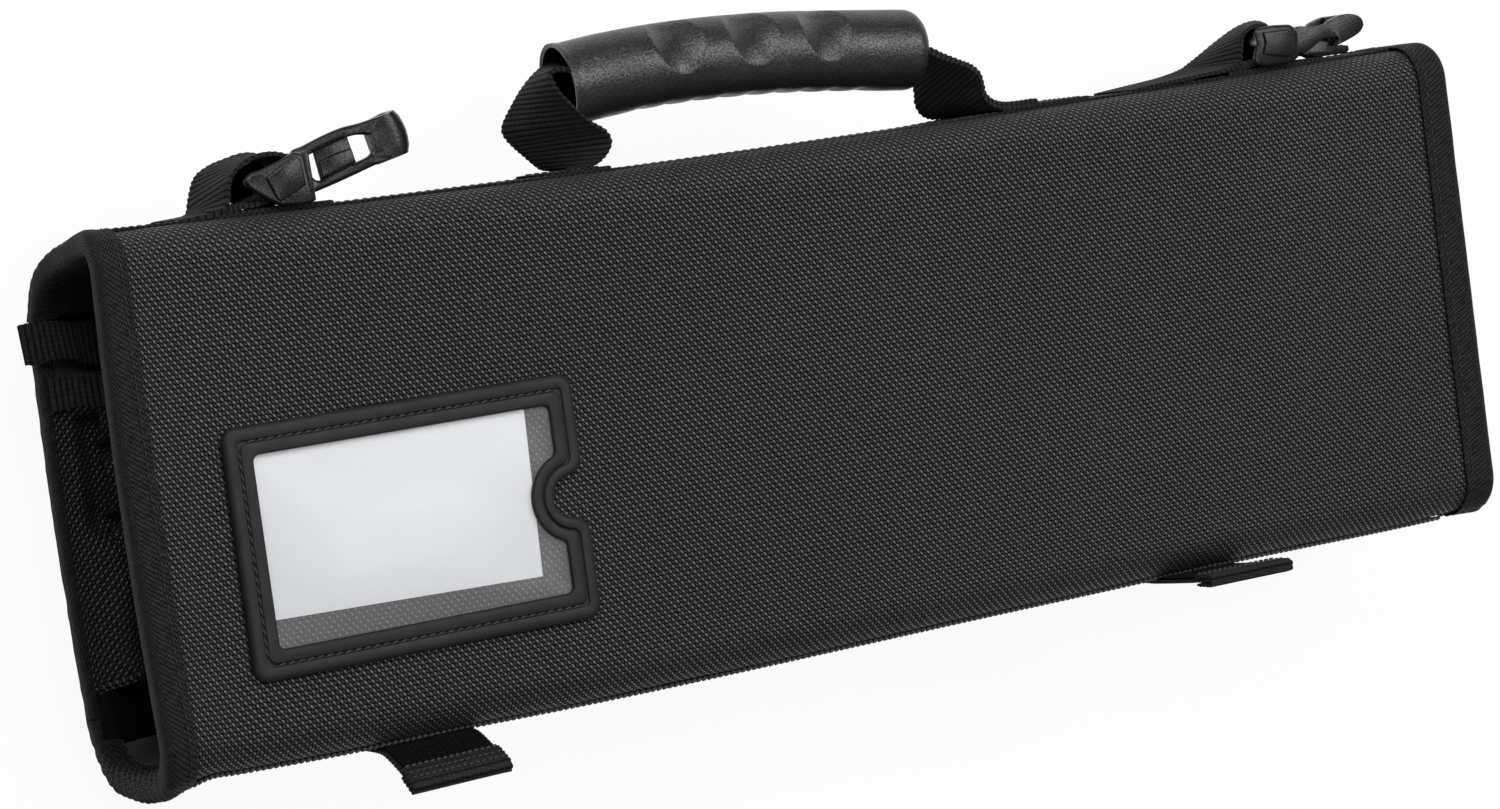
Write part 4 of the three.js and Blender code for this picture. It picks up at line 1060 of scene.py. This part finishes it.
def build_lid():
    def sheet(z, wave, seed):
        def place(u, v):
            x = (u - 0.5) * 2 * (HALF - 0.5)
            y = LID_LOW + 0.4 + v * (LID_TOP - LID_LOW - 0.8)
            free = ease(HALF - abs(x), 10, 30) * ease(y - LID_LOW, 2, 14) * ease(LID_TOP - y, 12, 20)
            return bowed(x, y, z + wave * free * ripple(x, y, 34, seed))
        return place

    sheet_piece("lid_cloth", "back_lid", CLOTH, "cover", ("lid_cover",), (120, 50), sheet(0.5, 0.35, 80),
                (490, 117), 0.9)
    sheet_piece("lid_inner_cloth", "back_lid", LINING, "lining", ("lid_lining",), (100, 40),
                sheet(4.6, 0.25, 81), (490, 117), 0.6)

    core_length, tape_length, tunnel_length = 486, 466, 462

    def core(u, v):
        x = (u - 0.5) * core_length
        ring = [(LID_LOW + 1.4, 1.4), (LID_TOP - 1.4, 1.4), (LID_TOP - 1.4, 3.8), (LID_LOW + 1.4, 3.8)]
        y, z = ring[round(v * 4) % 4]
        return bowed(x, y, z)

    sheet_piece("lid_stiffener", "back_lid", BOARD, "board", ("lid_board",), (24, 4), core, (core_length, 240),
                closed=True)

    rows = []
    seam, stitch_run = 236.8, 3.2
    section, reach = tape_section(5.4, 12.2, 5.95, -0.95, 0.08)
    for side, label in ((-1, "left"), (1, "right")):
        def end_tape(u, v):
            k = round(u * (len(section) - 1))
            end, z = section[k]
            y = LID_LOW - 2.3 + v * (LID_TOP - LID_LOW + 2.8)
            sewn = 1 - ease(abs(end - seam), 0.3, 1.3)
            stitch = 0.1 * math.cos(2 * PI * y / stitch_run) * (end < 238.5)
            flat = 0.14 * ripple(end, y, 9, 90 + side) + stitch - 0.4 * sewn
            twist = (0.9 * ripple(0, y, 15, 93) + 0.35 * math.sin(2 * PI * y / 6.1)) * ease(end, 238, 246)
            waver = 0.3 * ripple(0, y, 8, 95) * (k < 4) - 0.5 * abs(ripple(0, y, 11, 96)) * (6 < k < 12)
            x = side * min(end + waver, BOUND_END)
            lift = flat + twist * 0.7 if z > 2.5 else -flat * 0.3 + twist * 0.2
            return bowed(x, y, z + lift)

        sheet_piece(f"lid_binding_cloth_{label}", "back_lid", TAPE, "tape", (f"lid_binding_{label}",),
                    (len(section) - 1, 150), end_tape, (reach, 117), 0.5, -1, crease=70)
        run = range(-60, 54, 6)
        rows += [{"line": [(side * 242.2, y, 6.15) for y in run], "up": (0, 0, 1)},
                 {"line": [(side * seam, y, -0.85) for y in run], "up": (0, 0, -1), "radius": 0.2}]

    edge = [(-61.6, 0.05), (-63.2, 0.3), (-63.5, 1.4), (-63.5, 4.8), (-63, 5.8), (-61.8, 5.95), (-56, 5.95),
            (-52.4, 6), (-51.6, 5.8), (-51.5, 5.4)]
    steps = 24
    line, run = smooth_line([(0, y, z) for y, z in edge], steps)

    def edge_tape(u, v):
        x = (u - 0.5) * tape_length
        at = line[round(v * steps)]
        roll = 0.12 * ripple(x, at.y, 12, 97) + 0.08 * math.cos(2 * PI * x / stitch_run) * (at.z > 5.2)
        return bowed(x, at.y, at.z + roll)

    sheet_piece("lid_edge_cloth", "back_lid", TAPE, "tape", ("lid_edge_tape",), (240, steps), edge_tape,
                (tape_length, run), 0.45, -1, crease=70)
    rows.append({"line": [bowed(x, -53.6, 6.1) for x in range(-230, 231, 10)], "up": (0, 0, 1)})
    stitch_piece("lid_stitches", "back_lid", rows)

    # Four blade tunnels made from one cloth
    count, gap, foot = 4, 3, 5.7
    start, end = LID_LOW + 15, LID_TOP - 15.9
    pitch = (end - start) / count
    outline = [(start - gap, foot)]
    for i in range(count):
        a, b = start + i * pitch, start + (i + 1) * pitch - gap
        outline += [(a - 0.3, 5.75), (a + 0.9, 9.0), (a + 3.2, 12.9), ((a + b) / 2, 14.1), (b - 3.2, 12.9),
                    (b - 0.9, 9.0), (b + 0.3, 5.75)]
    outline.append((end, foot))
    across = 140
    line, run = smooth_line([(0, y, z) for y, z in outline], across)

    def tunnels(u, v):
        x = (u - 0.5) * tunnel_length
        at = line[round(v * across)]
        high = ease(at.z, 7, 12)
        sink = 1.6 * high * abs(ripple(x, at.y / 6, 60, 100)) * ease(231 - abs(x), 5, 40)
        return bowed(x, at.y, at.z - sink + 0.2 * ripple(x, at.y, 15, 101))

    sheet_piece("blade_tunnels", "back_lid", INNER_CLOTH_IN_SHADE, "cover", ("blade_sleeves",), (110, across), tunnels,
                (tunnel_length, run), 0.8)
    hems = []
    for i in range(count):
        a = start + i * pitch
        part = [p for p in line if a - 1 < p.y < a + pitch - 2][::3]
        hems.append([[bowed(x, p.y, p.z + 0.25) for p in part] for x in (231.6, 223)])
    webbing_piece("tunnel_hems", "back_lid", hems, 1.5, (), TAPE, "tape", **HEM)

    # Coarse cloth that closes the tunnels towards the open end, with a taped top edge
    def end_cloth(u, v):
        x = -243.8 + 26 * u
        low = -57.5 + 7.5 * u
        y = low + (34.0 - low) * v
        rise = ease(x, -243, -230)
        hollow = between(y, -16, -5, 24, 30) * ease(x, -240, -232)
        z = 6.3 + 8.9 * rise - 8.2 * hollow
        z += 1.3 * rise * ripple(x, y, 13, 110) + 0.7 * math.sin(y / 6.2) * rise
        return bowed(x, y, z)

    sheet_piece("tunnel_end_cloth", "back_lid", INNER_CLOTH_IN_SHADE, "cover", (), (26, 90), end_cloth, (26, 92), 0.8)
    band = [(-244.4, 0.4, 7.6), (-240, 0.8, 9.6), (-235.5, 0.9, 12.2), (-231, 0.2, 14.2), (-226, -1, 15.4),
            (-220, -2.4, 15.4)]
    edges = [(x, 37.6 + y, z) for x, y, z in band], [(x, 28.2 + y, z + 0.5) for x, y, z in band]
    webbing_piece("tunnel_top_band", "back_lid", [edges], 1.2, relief=0.12)
    fold = [end_cloth(i / 12, 0.0) + Vector((0, 0, 0.3)) for i in range(13)]
    edges = fold, [p + Vector((0, 2.2, 0.2)) for p in fold]
    webbing_piece("tunnel_low_fold", "back_lid", [edges], 1.5, (), INNER_CLOTH_IN_SHADE, "cover",
                  rib=1.3, bead=1.36, relief=0.1, selvedge=0.2)

    near = [(-251.9, 55.4, 7.3), (-248.4, 55.9, 7.8), (-242, 55.6, 8.2), (-234, 53.8, 8.4),
            (-225, 51.9, 7.9), (-168, 50, 7.2)]
    far = [(-250.9, 43.6, 7.6), (-247.4, 43.2, 7.6), (-241, 44, 9.4), (-234, 43.2, 9.6), (-225, 40.5, 8.2),
           (-168, 37.9, 7.2)]
    webbing_piece("keeper_strap", "back_lid", [(near, far)], 1.3, ("keeper_webbing",), relief=0.12)


# Closure straps: webbing across the back of the lid and round the bottom edge, hook tape and pull tab
STRAP_HALF = 15.8
STRAP_FACE = -82.0  # where a strap stands off the bottom wall


def build_straps():
    base, back_z = STRAP_FACE, -1.05
    for label, x, tab in [
        ("left", -155.5, [(base - 0.7, 54), (base - 3.2, 60.4), (base - 6.2, 66.8), (base - 9.4, 72.6)]),
        ("right", 126.0, [(base + 0.2, 54), (base + 0.6, 62), (base + 1.2, 72), (base + 2.0, 82.6)]),
    ]:
        sides, strap = (x - STRAP_HALF, x + STRAP_HALF), f"strap_{label}"
        edges = [[bowed(at, y, back_z) for y in range(-61, 42, 6)] for at in sides]
        webbing_piece(f"strap_back_{label}", "back_lid", [edges], 1.2, (f"strap_anchor_{label}",),
                      relief=0.1, selvedge=0.12)
        bend = [(-61.7, back_z), (-65, back_z)]
        for angle in range(265, 187, -13):
            angle = math.radians(angle)
            bend.append((-65 + 16.6 * math.cos(angle), 15 + 16.2 * math.sin(angle)))
        bend += [(base + 0.4, 16), (base, 20), (base, 30), (base, 40), (base, 49), *tab]
        run = [(y - settle(x) * (ease(-y, 61, 66) + (y > -61.8)), z) for y, z in bend]
        webbing_piece(f"strap_wrap_{label}", strap, [[[(at, *p) for p in run] for at in sides]], 1.2,
                      (f"closure_strap_{label}",), relief=0.1, selvedge=0.16)
        # Hook tape on the face that meets the loop tape, up to the tab; its near-black colours are painted
        # shade under the case's bottom edge
        points, _ = smooth_line([(0, *p) for p in run], 120)
        hooks = []
        for k in range(61, 120):
            forward = (points[k + 1] - points[k - 1]).normalized()
            at = points[k] + Vector((0, forward.z, -forward.y))
            if points[k].z > 50 and at.z < tab[-1][1] - 6.0:
                hooks.append(at)
        edges = [[(x + half, p.y, p.z) for p in hooks[::3]] for half in (-14.6, 14.6)]
        webbing_piece(f"strap_hook_tape_{label}", strap, [edges], 0.9, (f"hook_tape_{label}",), HOOKS_IN_SHADE, "fuzzy",
                      rib=1.0, bead=1.6, relief=0.02, selvedge=0.12)
        # The end turned back on itself, with a fat rolled edge and three stitched ridges
        last = points[120]
        forward = (last - points[112]).normalized()
        out = Vector((0, forward.z, -forward.y))
        fold = [(-9, 1.3), (-6, 1.4), (-2.2, 1.5)]
        for angle in range(90, -91, -30):
            angle = math.radians(angle)
            fold.append((-1.2 + 1.7 * math.cos(angle), 1.55 * math.sin(angle) - 0.1))
        fold = [last + forward * a + out * b for a, b in [*fold, (-4, -1.4), (-8, -1.2)]]
        edges = [[(at, p.y, p.z) for p in fold] for at in (sides[0] - 0.1, sides[1] + 0.1)]
        webbing_piece(f"pull_tab_{label}", strap, [edges], 1.3, (f"pull_tab_fold_{label}",), rib=1.3)
        rows = []
        for back, radius in ((2.9, 0.4), (5.4, 0.34), (8.4, 0.55)):
            at = last - forward * back + out * 2.15
            rows.append({"line": [(sides[0] + 0.4 + 30.8 * i / 6, at.y, at.z) for i in range(7)], "up": out,
                         "pitch": 2.0, "length": 2.1, "radius": radius, "lean": 0.25})
        stitch_piece(f"tab_stitches_{label}", strap, rows, "webbing")


# Camera at the photograph's angle: its turn, distance, aim and focal length come from a fit
PHOTO_TURN = (4.34, 28.24, 7.62)
PHOTO_DISTANCE = 1379.5
PHOTO_AIM = Vector((2.7, 9.2, 0))
PHOTO_WIDTH, PHOTO_FOCAL = 1500, 4230  # in pixels
SENSOR = 36


def place_camera():
    rx, ry, rz = (math.radians(a) for a in PHOTO_TURN)
    turn = Matrix.Rotation(rz, 3, "Z") @ Matrix.Rotation(rx, 3, "X") @ Matrix.Rotation(ry, 3, "Y")
    eye = turn.transposed() @ (Vector((0, 0, PHOTO_DISTANCE)) - PHOTO_AIM) + Vector((0, 2.7, 0))
    data = bpy.data.cameras.new("photo_camera")
    data.sensor_width = SENSOR
    data.lens = PHOTO_FOCAL / PHOTO_WIDTH * SENSOR
    camera = bpy.data.objects.new("photo_camera", data)
    camera.matrix_world = Matrix.Translation(in_frame(eye)) @ turn.transposed().to_4x4()
    bpy.context.scene.collection.objects.link(camera)
    bpy.context.scene.camera = camera


def soft_lamp(name, place, size, power, aim=(0, 0, 0.03)):
    data = bpy.data.lights.new(name, "AREA")
    data.shape = "RECTANGLE"
    data.size, data.size_y = size
    data.energy = power
    lamp = bpy.data.objects.new(name, data)
    look = (Vector(aim) - Vector(place)).to_track_quat("-Z", "Y")
    lamp.matrix_world = Matrix.Translation(place) @ look.to_matrix().to_4x4()
    bpy.context.scene.collection.objects.link(lamp)


# White floor and world as the camera sees them; a dimmer world lights the case beside three lamps
FLOOR_Z = -0.018  # below the case, so that the opened lid stays in sight


def build_studio():
    bm = bmesh.new()
    bmesh.ops.create_grid(bm, x_segments=4, y_segments=4, size=6.0)
    mesh = bpy.data.meshes.new("studio_floor")
    bm.to_mesh(mesh)
    bm.free()
    floor = bpy.data.objects.new("studio_floor", mesh)
    floor.location.z = FLOOR_Z
    bpy.context.scene.collection.objects.link(floor)
    r = Recipe("studio_floor", Roughness=0.9, Specular_IOR_Level=0.1)
    r.shader.inputs["Base Color"].default_value = (0.85, 0.85, 0.85, 1)
    rays = r.node("LightPath").node.outputs
    seen = r.op("MAXIMUM", rays["Is Camera Ray"], rays["Is Glossy Ray"])
    seen = r.op("MAXIMUM", seen, rays["Is Transmission Ray"])
    glow = r.node("Emission", (1, 1, 1, 1), 1.0)
    mixed = r.node("MixShader", r.op("MULTIPLY", seen, 0.93), r.shader.outputs[0], glow)
    r.tree.links.new(mixed, r.tree.nodes["Material Output"].inputs["Surface"])
    mesh.materials.append(r.material)
    world = bpy.data.worlds.new("studio_world")
    world.use_nodes = True
    tree = world.node_tree
    plain = tree.nodes["Background"]
    plain.inputs["Color"].default_value = (1, 1, 1, 1)
    plain.inputs["Strength"].default_value = 0.2
    kinds = ("Background", "LightPath", "MixShader")
    white, path, mix = (tree.nodes.new("ShaderNode" + kind) for kind in kinds)
    white.inputs["Strength"].default_value = 1.0
    for value, socket in zip((path.outputs["Is Camera Ray"], plain.outputs[0], white.outputs[0]), mix.inputs):
        tree.links.new(value, socket)
    tree.links.new(mix.outputs[0], tree.nodes["World Output"].inputs["Surface"])
    bpy.context.scene.world = world
    soft_lamp("key_softbox", (-0.45, 1.15, 1.25), (1.3, 0.8), 22)
    soft_lamp("front_softbox", (0.8, 0.45, 1.35), (0.8, 0.8), 13)
    soft_lamp("fill_softbox", (-0.1, -0.25, 1.6), (0.9, 0.7), 7)
    bpy.context.scene.view_settings.view_transform = "Standard"


place_camera()
build_studio()
build_cover()
build_tray_lining()
build_boards()
build_binding(-1)
build_binding(1)
build_webbing()
build_handle_webbing()
build_grip()
build_hook_left()
build_hook_right()
build_name_window()
build_tray_inside()
build_hinge()
build_lid()
build_straps()
